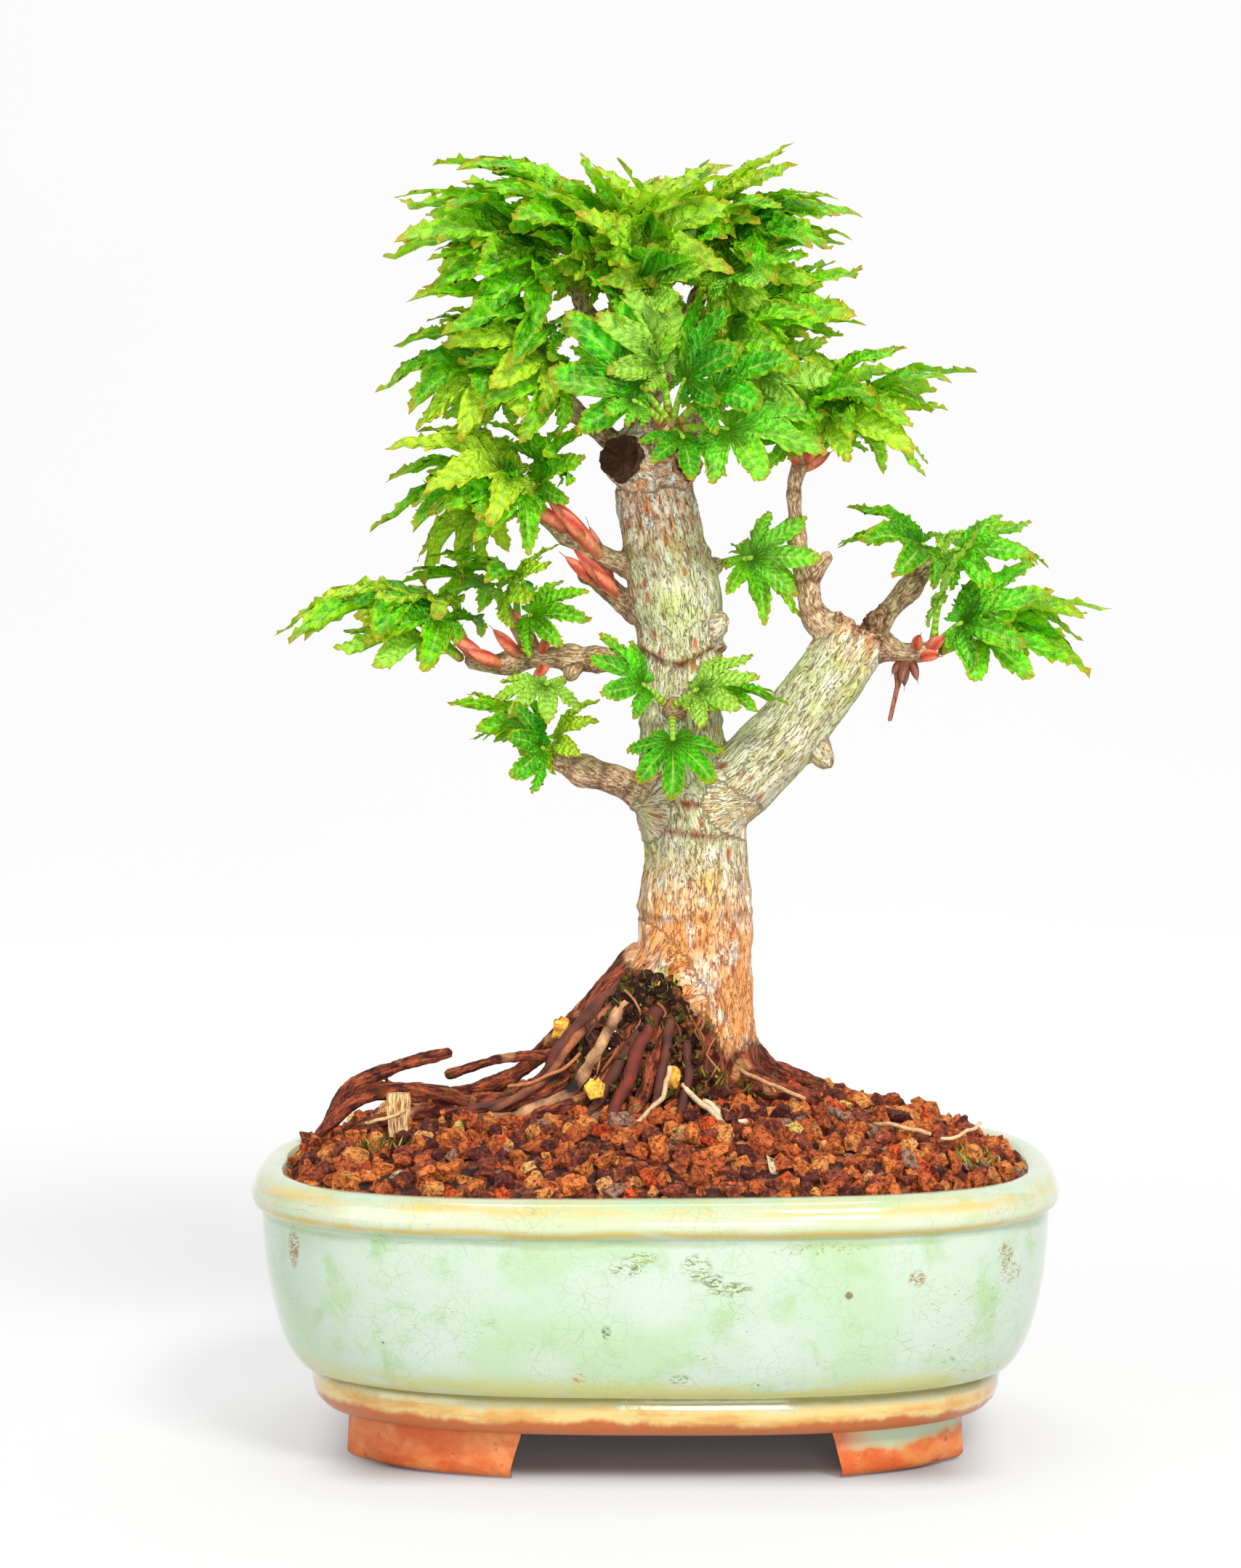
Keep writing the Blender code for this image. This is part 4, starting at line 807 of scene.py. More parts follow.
def make_tree():
    verts, faces, samples = [], [], []
    groups = [("trunk", TRUNK, "trunk"), ("limb", LIMB, "limb")]
    groups += [(name, points, "stub") for name, points in STUBS.items()]
    groups += [(name, points, "twig") for name, points in TWIGS.items()]
    groups += [(name, points, "root") for name, points in ROOTS.items()]
    for name, points, kind in groups:
        path = wood_path(points, kind == "root")
        along, knotted = 0.0, []
        for i, (p, r) in enumerate(path):
            if i:
                along += (p - path[i - 1][0]).length
            swell = 1.0
            if kind == "twig":
                swell -= 0.10
                swell += 0.30 * max(0.0, math.sin(along / (2.6 * MM) + len(name))) ** 3
                swell += 0.10 * noise.noise(p * 600)
            if kind == "root":
                swell += 0.22 * noise.noise(p * 260)
            knotted.append((p, r * swell))
        last = len(knotted) - 1
        travelled = 0.0
        for i, (p, r) in enumerate(knotted):
            if i:
                travelled += (p - knotted[i - 1][0]).length
            ahead = (knotted[min(i + 1, last)][0] - knotted[max(i - 1, 0)][0]).normalized()
            samples.append((p, r, ahead, travelled, along - travelled, name, kind))
        more_verts, more_faces = tube(knotted, 14, name in CUT)
        start = len(verts)
        verts.extend(more_verts)
        faces.extend(tuple(start + i for i in f) for f in more_faces)
    rough = mesh_object("wood_raw", verts, faces)
    remesh = rough.modifiers.new("fuse", "REMESH")
    remesh.mode = "VOXEL"
    remesh.voxel_size = WOOD_VOXEL
    even = rough.modifiers.new("even", "SMOOTH")
    even.factor = 0.5
    even.iterations = 3
    graph = bpy.context.evaluated_depsgraph_get()
    mesh = bpy.data.meshes.new_from_object(rough.evaluated_get(graph))
    bpy.data.objects.remove(rough)
    tree = bpy.data.objects.new("maple_wood", mesh)
    bpy.context.scene.collection.objects.link(tree)
    carve_bark(tree, samples)
    set_look(tree, bark_material())
    mesh.shade_smooth()
    return keep(tree, "bark", "tree")


RINGS = [  # of old bud scars round the trunk: height, how far it stands out, dip at the front, all in mm
    (119.6, 0.75, 0.4), (114.4, 0.55, 0.3), (99.0, 0.25, 0.6), (148.4, 0.8, 2.6), (134.0, 0.3, 0.8),
    (166.0, 0.4, 1.2),
]


def unit(value):
    return min(1.0, max(0.0, value))


def carve_bark(tree, samples):
    """Fissures, rings and scars in the wood's surface, and the maps that its material reads."""
    finder = kdtree.KDTree(len(samples))
    for i, s in enumerate(samples):
        finder.insert(s[0], i)
    finder.balance()
    mesh = tree.data
    count = len(mesh.vertices)
    zones = np.zeros((count, 4), np.float32)
    wear_and_hollow_shade = np.zeros((count, 4), np.float32)
    grain = np.zeros((count, 3), np.float32)
    moved = np.zeros((count, 3), np.float32)
    normals = [v.normal.copy() for v in mesh.vertices]
    for v in mesh.vertices:
        p = v.co
        best = min(finder.find_n(p, 10), key=lambda hit: hit[2] - samples[hit[1]][1])
        place, radius, ahead, along, left, name, kind = samples[best[1]]
        off = p - place
        along_here = along + off.dot(ahead)
        side = Vector((0.1, 1, 0.05)).cross(ahead).normalized()
        up = ahead.cross(side)
        radial = off - ahead * off.dot(ahead)
        angle = math.atan2(radial.dot(up), radial.dot(side))
        around = radius * 1000 * 0.9
        g = Vector((around * math.cos(angle), around * math.sin(angle), along_here * 1000))
        grain[v.index] = g + Vector((len(name) * 3.1, 0, len(name) * 7.7))
        n = normals[v.index]
        line = max(73.5, 85.4 - (p.x - POT_X) / MM * 0.72) * MM  # the root crown's upper edge
        root = float(kind == "root")
        if kind == "root" and radial.length > 0 and p.x > POT_X - 6 * MM:
            root = unit((line - p.z) / (1.6 * MM) + 0.5 + 1.2 * noise.noise(p * 350))
        old = cut = push = scar = flaky = 0.0
        lines = noise.fractal(Vector((g.x * 0.55, g.y * 0.55, g.z * 0.16)), 0.9, 2.1, 4)
        lumps = noise.noise(Vector((g.x * 0.18, g.y * 0.18, g.z * 0.13)))
        if kind == "trunk":
            old = 1 - unit((p.z - 96 * MM) / (16 * MM))
            push += (0.42 if old > 0.3 else 0.26) * lines + 0.36 * lumps
            z = p.z * 1000
            for height, tall, dip in RINGS:
                wave = height - dip * math.exp(-((radial.x / (0.6 * radius)) ** 2))
                wave += 0.5 * math.sin(angle * 3 + height)
                ridge = math.exp(-(((z - wave) / 0.75) ** 2))
                push += tall * ridge - 0.5 * tall * math.exp(-(((z - wave + 1.5) / 0.8) ** 2))
                scar = max(scar, tall * 1.3 * math.exp(-(((z - wave + 0.7) / 1.0) ** 2)))
            flaky = unit((p.z - 163 * MM) / (10 * MM))
            base = max(0.0, 1 - (p.z - 0.0705) / 0.0055)
            root = max(root, min(1.0, base * 1.5 - 0.2 + 0.8 * noise.noise(p * 400)))
        elif kind in ("limb", "stub"):
            push += 0.30 * lines + 0.30 * lumps
            if kind == "limb":
                old = max(0.0, 1 - along_here / 0.012) * 0.8
                flaky = unit(1 - left / (9 * MM))
            else:
                flaky = 1.0 if name in CUT else 0.4
        elif kind == "root" and root < 0.5:
            old = 1.0
            push += 0.40 * lines
        elif kind == "twig":
            push += 0.16 * lines + 0.22 * lumps + 0.12 * noise.noise(p * 900)
            scar = max(0.0, math.sin(along_here / (0.9 * MM)) - 0.6) * 1.6
        else:
            push += 0.24 * noise.noise(p * 420) + 0.14 * noise.noise(p * 1100)
        push += flaky * (0.35 * noise.noise(p * 520) + 0.18 * noise.noise(p * 1300))
        near_end = left - off.dot(ahead) < 1.3 * MM + 0.9 * MM * noise.noise(p * 500)
        if name in CUT and near_end and ahead.dot(n) > -0.4:
            across = radial.length / max(radius, 1e-6)
            cut = 1.0
            if ahead.dot(n) > 0.5 and across < 0.86:
                depth = 2.0 if name == "front_stub" else 0.9
                moved[v.index] -= np.array(ahead, np.float32) * depth * MM * min(1.0, (0.86 - across) * 5)
            push += 0.45 * noise.noise(p * 900)
        zones[v.index] = (root, old, cut, 1.0 if kind == "twig" else 0.0)
        # the third part is 0 at the front stub, whose hollow cut end the material paints near black as
        # painted shade
        wear_and_hollow_shade[v.index] = (scar, flaky, 0.0 if name == "front_stub" else 0.85, 1.0)
        moved[v.index] += np.array(n, np.float32) * push * MM
    places = np.zeros(count * 3, np.float32)
    mesh.vertices.foreach_get("co", places)
    mesh.vertices.foreach_set("co", places + moved.ravel())
    set_attribute(tree, "zone", "FLOAT_COLOR", zones)
    set_attribute(tree, "wear_and_hollow_shade", "FLOAT_COLOR", wear_and_hollow_shade)
    set_attribute(tree, "grain", "FLOAT_VECTOR", grain)


def bark_material():
    mat = new_material("maple_bark")
    mm = position()
    root, old, cut = split(attribute("zone", "Color"), "Color")
    twig = attribute("zone", "Alpha")
    scar, flaky, light = split(attribute("wear_and_hollow_shade", "Color"), "Color")
    grain = attribute("grain")
    streak = noise_node(scaled(grain, (1.0, 1.0, 0.26)), 0.95, 6, 0.68, 0.4)
    fine = noise_node(scaled(grain, (1.0, 1.0, 0.35)), 2.4, 5, 0.68)
    bent = warped(grain, 2.2, Scale=0.55, Detail=5.0)
    plates = cells(scaled(bent, (1.0, 1.0, 0.30)), 0.75, "DISTANCE_TO_EDGE")
    gap = step(plates, 0.10, 0.01) * step(fine, 0.56, 0.36)
    weave = noise_node(scaled(grain, (1.0, 1.0, 0.20)), 1.1, 4, 0.62, 0.8)
    crack = step(calc("ABSOLUTE", weave - 0.5), 0.040, 0.008)
    crack = crack * step(fine, 0.60, 0.42)
    patch = noise_node(scaled(mm, (1, 1, 0.7)), 0.10, 5, 0.62)
    blot = noise_node(scaled(mm, (1, 1, 0.6)), 0.30, 5, 0.66)
    tan = mix(step(streak, 0.36, 0.62), srgb(240, 160, 92), srgb(255, 246, 226))
    tan = over(tan, srgb(255, 172, 92), patch, 0.38, 0.56, 0.9)
    tan = over(tan, srgb(255, 246, 226), blot, 0.52, 0.66, 0.75)
    tan = over(tan, srgb(188, 98, 40), fine, 0.46, 0.34, 0.7)
    green = mix(step(streak, 0.36, 0.62), srgb(216, 214, 146), srgb(255, 254, 226))
    green = over(green, srgb(218, 232, 124), patch, 0.44, 0.64, 0.75)
    green = over(green, srgb(255, 246, 230), blot, 0.54, 0.68, 0.7)
    green = over(green, srgb(176, 140, 90), fine, 0.42, 0.32, 0.6)
    green = mix(1.0, green, (0.80, 0.80, 0.80, 1), "MULTIPLY")
    flake = mix(step(streak, 0.40, 0.58), srgb(240, 160, 104), srgb(255, 250, 236))
    flake = over(flake, srgb(186, 92, 48), blot, 0.54, 0.62, 0.8)
    colour = mix(old, green, tan)
    colour = mix(flaky * step(patch, 0.30, 0.50, 0.4, 1.0), colour, flake)
    split_tint = mix(old, srgb(146, 100, 54), srgb(190, 88, 30))
    colour = mix(calc("MAXIMUM", gap * 0.28, crack * 0.9), colour, split_tint)
    spots = scaled(grain, (1.0, 1.0, 0.42))
    chosen = step(split(cells(spots, 0.48, output="Color"))[1], 0.56, 0.62)
    rust = step(cells(spots, 0.48), 0.32, 0.14) * chosen * (1.0 - twig)
    rust = rust * step(fine, 0.36, 0.50, 0.3, 1.0)
    colour = mix(rust * 0.85, colour, srgb(190, 96, 50))
    colour = mix(calc("MULTIPLY", scar, step(blot, 0.36, 0.56), True), colour, srgb(150, 78, 42))
    brown = mix(step(fine, 0.35, 0.62), srgb(146, 84, 50), srgb(240, 198, 158))
    brown = over(brown, srgb(196, 186, 150), patch, 0.45, 0.62, 0.35)
    colour = mix(twig * 0.85, colour, brown)
    colour = mix(twig * scar * 0.7, colour, srgb(104, 56, 36))
    deep = mix(step(streak, 0.40, 0.64), srgb(70, 22, 14), srgb(186, 92, 56))
    deep = over(deep, srgb(214, 150, 100), noise_node(mm, 0.14, 3), 0.58, 0.66, 0.7)
    deep = over(deep, srgb(104, 96, 28), noise_node(mm, 0.22, 3), 0.58, 0.70, 0.6)
    colour = mix(root, colour, deep)
    # painted shade: the front stub's hollow cut end is near black; the other cut ends are mostly healed wood
    cut_face_with_hollow_shade = mix(noise_node(mm, 0.5, 5, 0.7), srgb(24, 12, 6), srgb(104, 64, 38))
    healed = mix(step(noise_node(mm, 0.75, 5, 0.7), 0.38, 0.62), srgb(104, 44, 24), srgb(246, 196, 150))
    cut_face_with_hollow_shade = mix(light, cut_face_with_hollow_shade, healed)
    colour = mix(cut, colour, cut_face_with_hollow_shade)
    height = streak + fine * 0.6 - (gap * 0.3 + crack * 0.6)
    normal = bump(height, 0.9, 0.7 * MM)
    principled(colour, 0.78, normal, Specular_IOR_Level=0.3)
    return mat


# ---------------------------------------------------------------- leaves

LOBES = [(-116, 0.40), (-75, 0.72), (-37, 0.93), (0, 1.0), (37, 0.93), (75, 0.72), (116, 0.40)]
SINUS = 0.40
KINDS = {"open": (0.34, 0.20, 0.145), "claw": (0.28, 0.42, 0.150)}  # stalk, droop, width
PLAIN_THICKNESS, STALK_WIDTH = 0.014, 0.030


def plain_leaf(kind):
    """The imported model's own leaf, as points, to find where each one was set."""
    stalk, droop, width = KINDS[kind]
    reach = 1 - stalk

    def on_blade(angle, r, lift=0.0):
        a = math.radians(angle)
        rise = droop * reach * (1 - r * r) + lift
        return Vector((stalk + reach * r * math.cos(a), reach * r * math.sin(a), rise))

    half = PLAIN_THICKNESS / 2
    points = [on_blade(0, 0, half), on_blade(0, 0, -half)]
    bounds = [-151] + [(a[0] + b[0]) / 2 for a, b in zip(LOBES, LOBES[1:])] + [151]
    for i, angle in enumerate(bounds):
        at_stalk = i in (0, len(bounds) - 1)
        share = SINUS * (0.75 if i in (1, len(bounds) - 2) else 1.0)
        points.append(on_blade(angle, 0.10 if at_stalk else share))
    for angle, share in LOBES:
        spread = math.degrees(math.atan2(width, 0.58 * share))
        points += [on_blade(angle, 0.52 * share, half), on_blade(angle, 0.52 * share, -half)]
        points += [on_blade(angle + turn, 0.60 * share, -0.25 * width) for turn in (-spread, spread)]
        points.append(on_blade(angle, share))
    for place in (on_blade(0, 0) * 0.5 + Vector((0, 0, 0.10 * droop)), Vector((0, 0, 0))):
        for way in ((0, 0, 1), (0, -1, 0), (0, 0, -1), (0, 1, 0)):
            points.append(place + Vector(way) * STALK_WIDTH / 2)
    return np.array([tuple(p) for p in points])


def find_leaf(points, model):
    """The similarity that carries model onto points: main axes first, then nearest points, repeated."""
    best = None

    def axes(cloud):
        mid = cloud.mean(0)
        values, vectors = np.linalg.eigh(np.cov((cloud - mid).T))
        return mid, vectors[:, ::-1], math.sqrt(values.sum())

    pm, pv, ps = axes(points)
    mm, mv, ms = axes(model)
    for sx in (1, -1):
        for sy in (1, -1):
            flip = np.diag([sx, sy, 1.0])
            turn = pv @ flip @ mv.T
            if np.linalg.det(turn) < 0:
                turn = pv @ np.diag([sx, sy, -1.0]) @ mv.T
            scale = ps / ms
            shift = pm - scale * turn @ mm
            for _ in range(25):
                moved = scale * model @ turn.T + shift
                gaps = ((moved[:, None] - points[None]) ** 2).sum(-1)
                near = points[gaps.argmin(1)]
                mc, nc = model.mean(0), near.mean(0)
                u, s, vt = np.linalg.svd((near - nc).T @ (model - mc))
                d = np.diag([1, 1, np.sign(np.linalg.det(u @ vt))])
                turn = u @ d @ vt
                scale = (s * np.diag(d)).sum() / ((model - mc) ** 2).sum()
                shift = nc - scale * turn @ mc
            moved = scale * model @ turn.T + shift
            error = ((moved[:, None] - points[None]) ** 2).sum(-1).min(1).mean()
            if best is None or error < best[0]:
                best = (error, scale, turn, shift)
    error, scale, turn, shift = best
    made = Matrix([list(scale * turn[i]) + [shift[i]] for i in range(3)] + [[0, 0, 0, 1]])
    return made, math.sqrt(error) / scale


def lobe_reach(angle, axes, shares, sinus, full):
    """How far the blade reaches at an angle, how far off its lobe's axis that is, and which lobe."""
    i = min(range(len(axes)), key=lambda k: abs(angle - axes[k]))
    if angle < axes[i]:
        edge = (axes[i - 1] + axes[i]) / 2 if i else axes[0] - STALK_GAP
    else:
        edge = (axes[i] + axes[i + 1]) / 2 if i < len(axes) - 1 else axes[-1] + STALK_GAP
    off = min(1.0, abs(angle - axes[i]) / abs(edge - axes[i]))
    neighbour = shares[min(len(shares) - 1, max(0, i + (1 if angle > axes[i] else -1)))]
    low = sinus * (shares[i] + neighbour) / 2
    at_stalk = (i == 0 and angle < axes[i]) or (i == len(axes) - 1 and angle > axes[i])
    if at_stalk:
        low = 0.16
    reach = low + (shares[i] - low) * (1 - off**full) + 0.09 * shares[i] * math.exp(-off * 8)
    return reach, off, i


def fine_leaf(kind, seed, trimmed=()):
    """(points, faces, map) of a serrated, pleated and crinkled leaf in the plain leaf's own space."""
    rng = random.Random(seed)
    stalk, droop, _ = KINDS[kind]
    reach = 1 - stalk
    claw = kind == "claw"
    droop *= rng.uniform(0.35, 0.85)
    hook = rng.uniform(0.10, 0.30) if claw else rng.uniform(0.02, 0.10)
    keel = rng.uniform(0.08, 0.18)
    sinus = rng.uniform(0.42, 0.56)
    fullness = rng.uniform(1.0, 1.6) if claw else rng.uniform(1.3, 2.1)
    axes = [a * rng.uniform(0.97, 1.03) + rng.uniform(-3, 3) for a, _ in LOBES]
    shares = [share * rng.uniform(0.84, 1.0) for _, share in LOBES]
    for i in (0, len(shares) - 1, *trimmed):
        shares[i] *= 0.8 if i in (0, len(shares) - 1) else 0.5
    ribs = [rng.uniform(5.2, 6.6) for _ in LOBES]
    phase = [rng.uniform(0, 6) for _ in LOBES]
    tip_turn = [rng.uniform(-0.08, 0.08) for _ in LOBES]
    bounds = [axes[0] - STALK_GAP] + [(a + b) / 2 for a, b in zip(axes, axes[1:])] + [axes[-1] + STALK_GAP]
    per_side, fine = 5, 3
    turns = []
    for i, axis in enumerate(axes):
        turns += [bounds[i] + (axis - bounds[i]) * (k / per_side) ** 0.8 for k in range(per_side)]
        turns += [axis + (bounds[i + 1] - axis) * (1 - (1 - k / per_side) ** 0.8) for k in range(per_side)]
    turns.append(bounds[-1])
    rings = [0.04, 0.12, 0.20, 0.28, 0.36, 0.44, 0.52, 0.60, 0.68, 0.76, 0.84, 0.92, 0.965]

    def point(angle, share_r, push=0.0):
        full, off, i = lobe_reach(angle, axes, shares, sinus, fullness)
        r = full * share_r
        a = math.radians(angle)
        axis = math.radians(axes[i])
        flat = Vector((r * math.cos(a), r * math.sin(a), 0))
        out = Vector((math.cos(axis), math.sin(axis), 0))
        along = flat.dot(out)
        beside = (flat - out * along).length
        if push:
            side = (flat - out * along).normalized() if beside > 1e-6 else Vector((0, 0, 0))
            flat = flat + (out * 0.75 + side * 0.8) * push
        t = along / shares[i]
        z = droop * (1 - r) + 0.14 * droop * math.sin(math.pi * min(1.0, r))
        z += hook * (0.53 * t - 2.6 * max(0.0, t - 0.55) ** 2)
        z += keel * r * (off if r < sinus * shares[i] else off * (1 - 3.2 * (r - sinus * shares[i]))) * 1.6
        wave = math.sin(6.283 * (ribs[i] * t - beside * 5.5) + phase[i])
        z += 0.028 * wave * min(1.0, beside * 14) * min(1.0, r * 3)
        z += 0.024 * noise.noise(Vector((flat.x * 7 + seed * 3.7, flat.y * 7, 0.5))) * min(1.0, r * 2)
        z += (0.020 if claw else 0.014) * share_r**6 * math.sin(6.283 * ribs[i] * t * 0.5 + phase[i] * 2)
        flat.y += tip_turn[i] * max(0.0, t - 0.5) ** 2
        pull = 1 - 0.35 * hook * max(0.0, t - 0.6)
        return Vector((stalk + reach * flat.x * pull, reach * flat.y * pull, reach * z)), off, t

    verts = [Vector((stalk, 0, reach * droop))]
    maps = [(0.0, 0.0, 0.0, 1.0)]
    faces = []
    count = len(turns)
    for ring in rings:
        for angle in turns:
            p, off, t = point(angle, ring)
            verts.append(p)
            maps.append((ring, max(0.0, t), off, 1.0))
    for k in range(count - 1):
        faces.append((0, 1 + k, 2 + k))
    for j in range(len(rings) - 1):
        for k in range(count - 1):
            a = 1 + j * count + k
            faces.append((a, a + count, a + count + 1, a + 1))
    last = 1 + (len(rings) - 1) * count
    edge = len(verts)
    margin = []
    for k in range(count - 1):
        margin += [turns[k] + (turns[k + 1] - turns[k]) * m / fine for m in range(fine)]
    margin.append(turns[-1])
    before, travelled = None, 0.0
    teeth = rng.uniform(13.0, 16.0)
    for angle in margin:
        full, off, i = lobe_reach(angle, axes, shares, sinus, fullness)
        here = Vector((full * math.cos(math.radians(angle)), full * math.sin(math.radians(angle)), 0))
        if before is not None:
            travelled += (here - before).length
        before = here
        tooth = abs((travelled * teeth) % 1.0 - 0.4) ** 0.9
        tooth += 0.3 * abs((travelled * teeth * 2.6) % 1.0 - 0.5)
        tooth *= min(1.0, 1.2 - off * 0.7) * (1 if off > 0.04 else 0.2)
        p, off, t = point(angle, 1.0, 0.072 * tooth)
        verts.append(p)
        maps.append((1.0, max(0.0, t), off, 1.0))
    for k in range(count - 1):
        fan = [edge + k * fine + m for m in range(fine + 1)]
        faces.append(tuple([last + k] + fan + [last + k + 1]))
    return verts, faces, maps, droop


def stalk_tube(kind, length, droop):
    """The leaf's stalk from its seat to the blade's root, bowed upwards, in the plain leaf's space."""
    stalk = KINDS[kind][0]
    root = Vector((stalk, 0, droop * (1 - stalk)))
    middle = root * 0.5 + Vector((0, 0, 0.10 * droop))
    thick = 0.60 * MM / length
    path = smooth_path([(Vector((0, 0, 0)), thick * 1.5), (middle, thick), (root, thick * 0.9)], 0.05)
    return tube(path, 8)


def add_leaf(name, kind, place, seed, looks, node=None, trimmed=()):
    length = place.to_scale().x
    verts, faces, maps, droop = fine_leaf(kind, seed, trimmed)
    stem_verts, stem_faces = stalk_tube(kind, length, droop)
    start = len(verts)
    verts = verts + stem_verts
    faces = faces + [tuple(start + i for i in f) for f in stem_faces]
    lowest = min(v.x for v in stem_verts)
    highest = max(v.x for v in stem_verts)
    maps += [(0.0, (v.x - lowest) / (highest - lowest), 0.0, 0.0) for v in stem_verts]
    leaf = mesh_object(name, [place @ v for v in verts], faces, looks[kind])
    set_attribute(leaf, "leafmap", "FLOAT_COLOR", maps)
    set_attribute(leaf, "shade", "FLOAT", [random.Random(seed * 3 + 1).random()] * len(verts))
    keep(leaf, "leaf" if kind == "open" else "young_leaf", *([node] if node else []))
    return leaf


LIGHT_THROUGH = 0.40  # the share of light that passes a blade


def leaf_material(name, deep, bright, pale):
    """Crinkled green blade: pale veins, painted shade in the hollows between them and towards the blade's
    base, yellow-orange teeth.
    """
    mat = new_material(name)
    out, along, off = split(attribute("leafmap", "Color"), "Color")
    blade = attribute("leafmap", "Alpha")
    shade = attribute("shade", "Fac")
    mm = position()
    mottle = noise_node(mm, 0.22, 4, 0.6, 0.3)
    veinlet_net_and_dent_shade = cells(warped(mm, 0.12, Scale=0.9), 1.15, "DISTANCE_TO_EDGE")
    colour = mix(step(mottle, 0.38, 0.62), deep, bright)
    colour = mix(step(shade, 0.30, 1.0, 0.0, 0.9), colour, pale)
    colour = mix(step(shade, 0.40, 0.0, 0.0, 0.75), colour, deep)
    blush = noise_node(mm, 0.09, 3)
    colour = over(colour, srgb(190, 236, 10), blush, 0.52, 0.70, 0.5)
    # painted shade: the net's cells are darkened where they dip
    colour = mix(step(veinlet_net_and_dent_shade, 0.12, 0.38, 0.0, 0.10), colour, mix(0.6, colour, srgb(6, 100, 0)))
    vein_and_valley_shade = along * 6.5 - off * 1.5
    vein_and_valley_shade = calc("FRACT", vein_and_valley_shade + mottle * 1.6)
    vein_and_valley_shade = calc("ABSOLUTE", vein_and_valley_shade - 0.5)
    # painted shade: darker in the valleys between the veins
    colour = mix(step(vein_and_valley_shade, 0.16, 0.46, 0.0, 0.5), colour, mix(0.7, colour, srgb(2, 92, 0)))
    colour = mix(step(vein_and_valley_shade, 0.10, 0.0, 0.0, 0.30), colour, pale)
    colour = mix(step(veinlet_net_and_dent_shade, 0.12, 0.02, 0.0, 0.10), colour, pale)
    rib = step(off, 0.13, 0.04)
    colour = mix(rib * step(along, 1.0, 0.4, 0.2, 0.8), colour, srgb(206, 242, 120))
    # painted shade: darker towards the blade's base, for the shade in its hollow there
    colour = over(colour, srgb(0, 88, 0), out, 0.60, 0.05, 0.7)
    margin = step(out, 0.90, 1.0) * step(along, 0.30, 0.70)
    colour = mix(margin * 0.22, colour, srgb(216, 208, 30))
    edge = step(out, 0.975, 1.0) * step(along, 0.55, 0.90)
    colour = mix(edge * 0.45, colour, srgb(190, 120, 10))
    tip = step(along, 0.95, 1.06) * step(out, 0.88, 1.0)
    colour = mix(tip * 0.55, colour, srgb(190, 100, 20))
    stem = mix(step(along, 0.35, 0.0), srgb(184, 228, 70), srgb(206, 120, 70))
    colour = mix(blade, stem, colour)
    height = mottle * 0.7 - step(veinlet_net_and_dent_shade, 0.0, 0.35, 0.0, 0.25)
    normal = bump(height - vein_and_valley_shade * 1.6, 0.9, 0.6 * MM)
    shader = principled(colour, 0.34, normal, Specular_IOR_Level=0.4)
    through = mix(0.55, colour, srgb(170, 250, 10))
    glow = add("ShaderNodeBsdfTranslucent", {"Color": through, "Normal": normal})
    both = add("ShaderNodeMixShader", {0: LIGHT_THROUGH, 1: shader, 2: glow})
    feed(Wire.tree.nodes["Material Output"].inputs["Surface"], both)
    return mat


# Further leaves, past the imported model's own: a seat with its leaves' tips and rolls, in listed mm.
MORE_LEAVES = [
    ((-5.7, -1.5, 203), [
        (-20, 6, 231, 60), (-11, -14, 233, -60), (13, 4, 233, 10), (1, 16, 231, 30),
        (-9, 14, 229, 40), (-24, -14, 228, 10), (14, -16, 230, -10), (-12, -18, 230, 0),
        (4, -20, 228, 0), (-12, -22, 210, -30), (10, -20, 212, 20),
    ]),
    ((-14.5, 2, 209), [
        (-34, -14, 228, 0), (-30, 14, 237, 10), (-43, -8, 208, -20), (-49, 2, 226, 0),
        (-22, -16, 218, -30),
    ]),
    ((8, 6.4, 209), [
        (20, -12, 226, 10), (34, 12, 228, 10), (31, -8, 210, 30), (39, 2, 224, 0), (24, 12, 237, 0),
    ]),
    ((-2, 13, 197), [
        (-24, 24, 230, 0), (26, 26, 228, 0), (2, 40, 206, 0), (-20, 34, 202, 0), (20, 34, 198, 0),
    ]),
    ((13.4, 0, 191), [(40, -8, 214, 10), (30, -16, 205, 20), (24, 14, 212, 0), (34, -14, 192, 40)]),
    ((-19, 0, 190), [
        (-47, -12, 208, 0), (-38, -18, 199, -20), (-42, 14, 205, 10), (-46, 4, 190, -10),
        (-33, -20, 186, -30), (-30, 18, 192, 10), (-26, -16, 202, -10),
    ]),
    ((3, -10, 183.4), [(-16, -22, 204, -70), (14, -22, 207, 50)]),
    ((27.4, -1.4, 178), [
        (44, -16, 197, 10), (40, 16, 199, 0), (53, -10, 187, 10), (14, -10, 190, -50),
    ]),
    ((-21, -3, 167.4), [
        (-50, -14, 180, -10), (-46, 12, 170, 0), (-42, -18, 168, -20), (-38, 6, 154, 0),
        (-13, -10, 184, 40),
    ]),
    ((-34.4, -1.4, 140.4), [(-68, 8, 150, 0), (-62, -12, 150, 0), (-50, 14, 147, 0)]),
    ((-26, 0.8, 147), [(-40, -14, 160, 10), (-18, -12, 159, 30), (-12, -10, 148, 30)]),
    ((-19, -4.6, 122), [(-38, -12, 133, 0), (-10, -18, 130, 30)]),
    ((3, -9.6, 131.6), [(20, -20, 138, 20)]),
    ((11.5, 4.2, 158), [(27, 12, 160, 20), (27, -2, 148, 0)]),
    ((52, 2, 158.6), [(37, -14, 163, -20), (68, -14, 160, 20), (62, 16, 161, 0)]),
    ((51, -3, 142), [(82, 4, 144, 0), (72, -18, 153, 30)]),
]
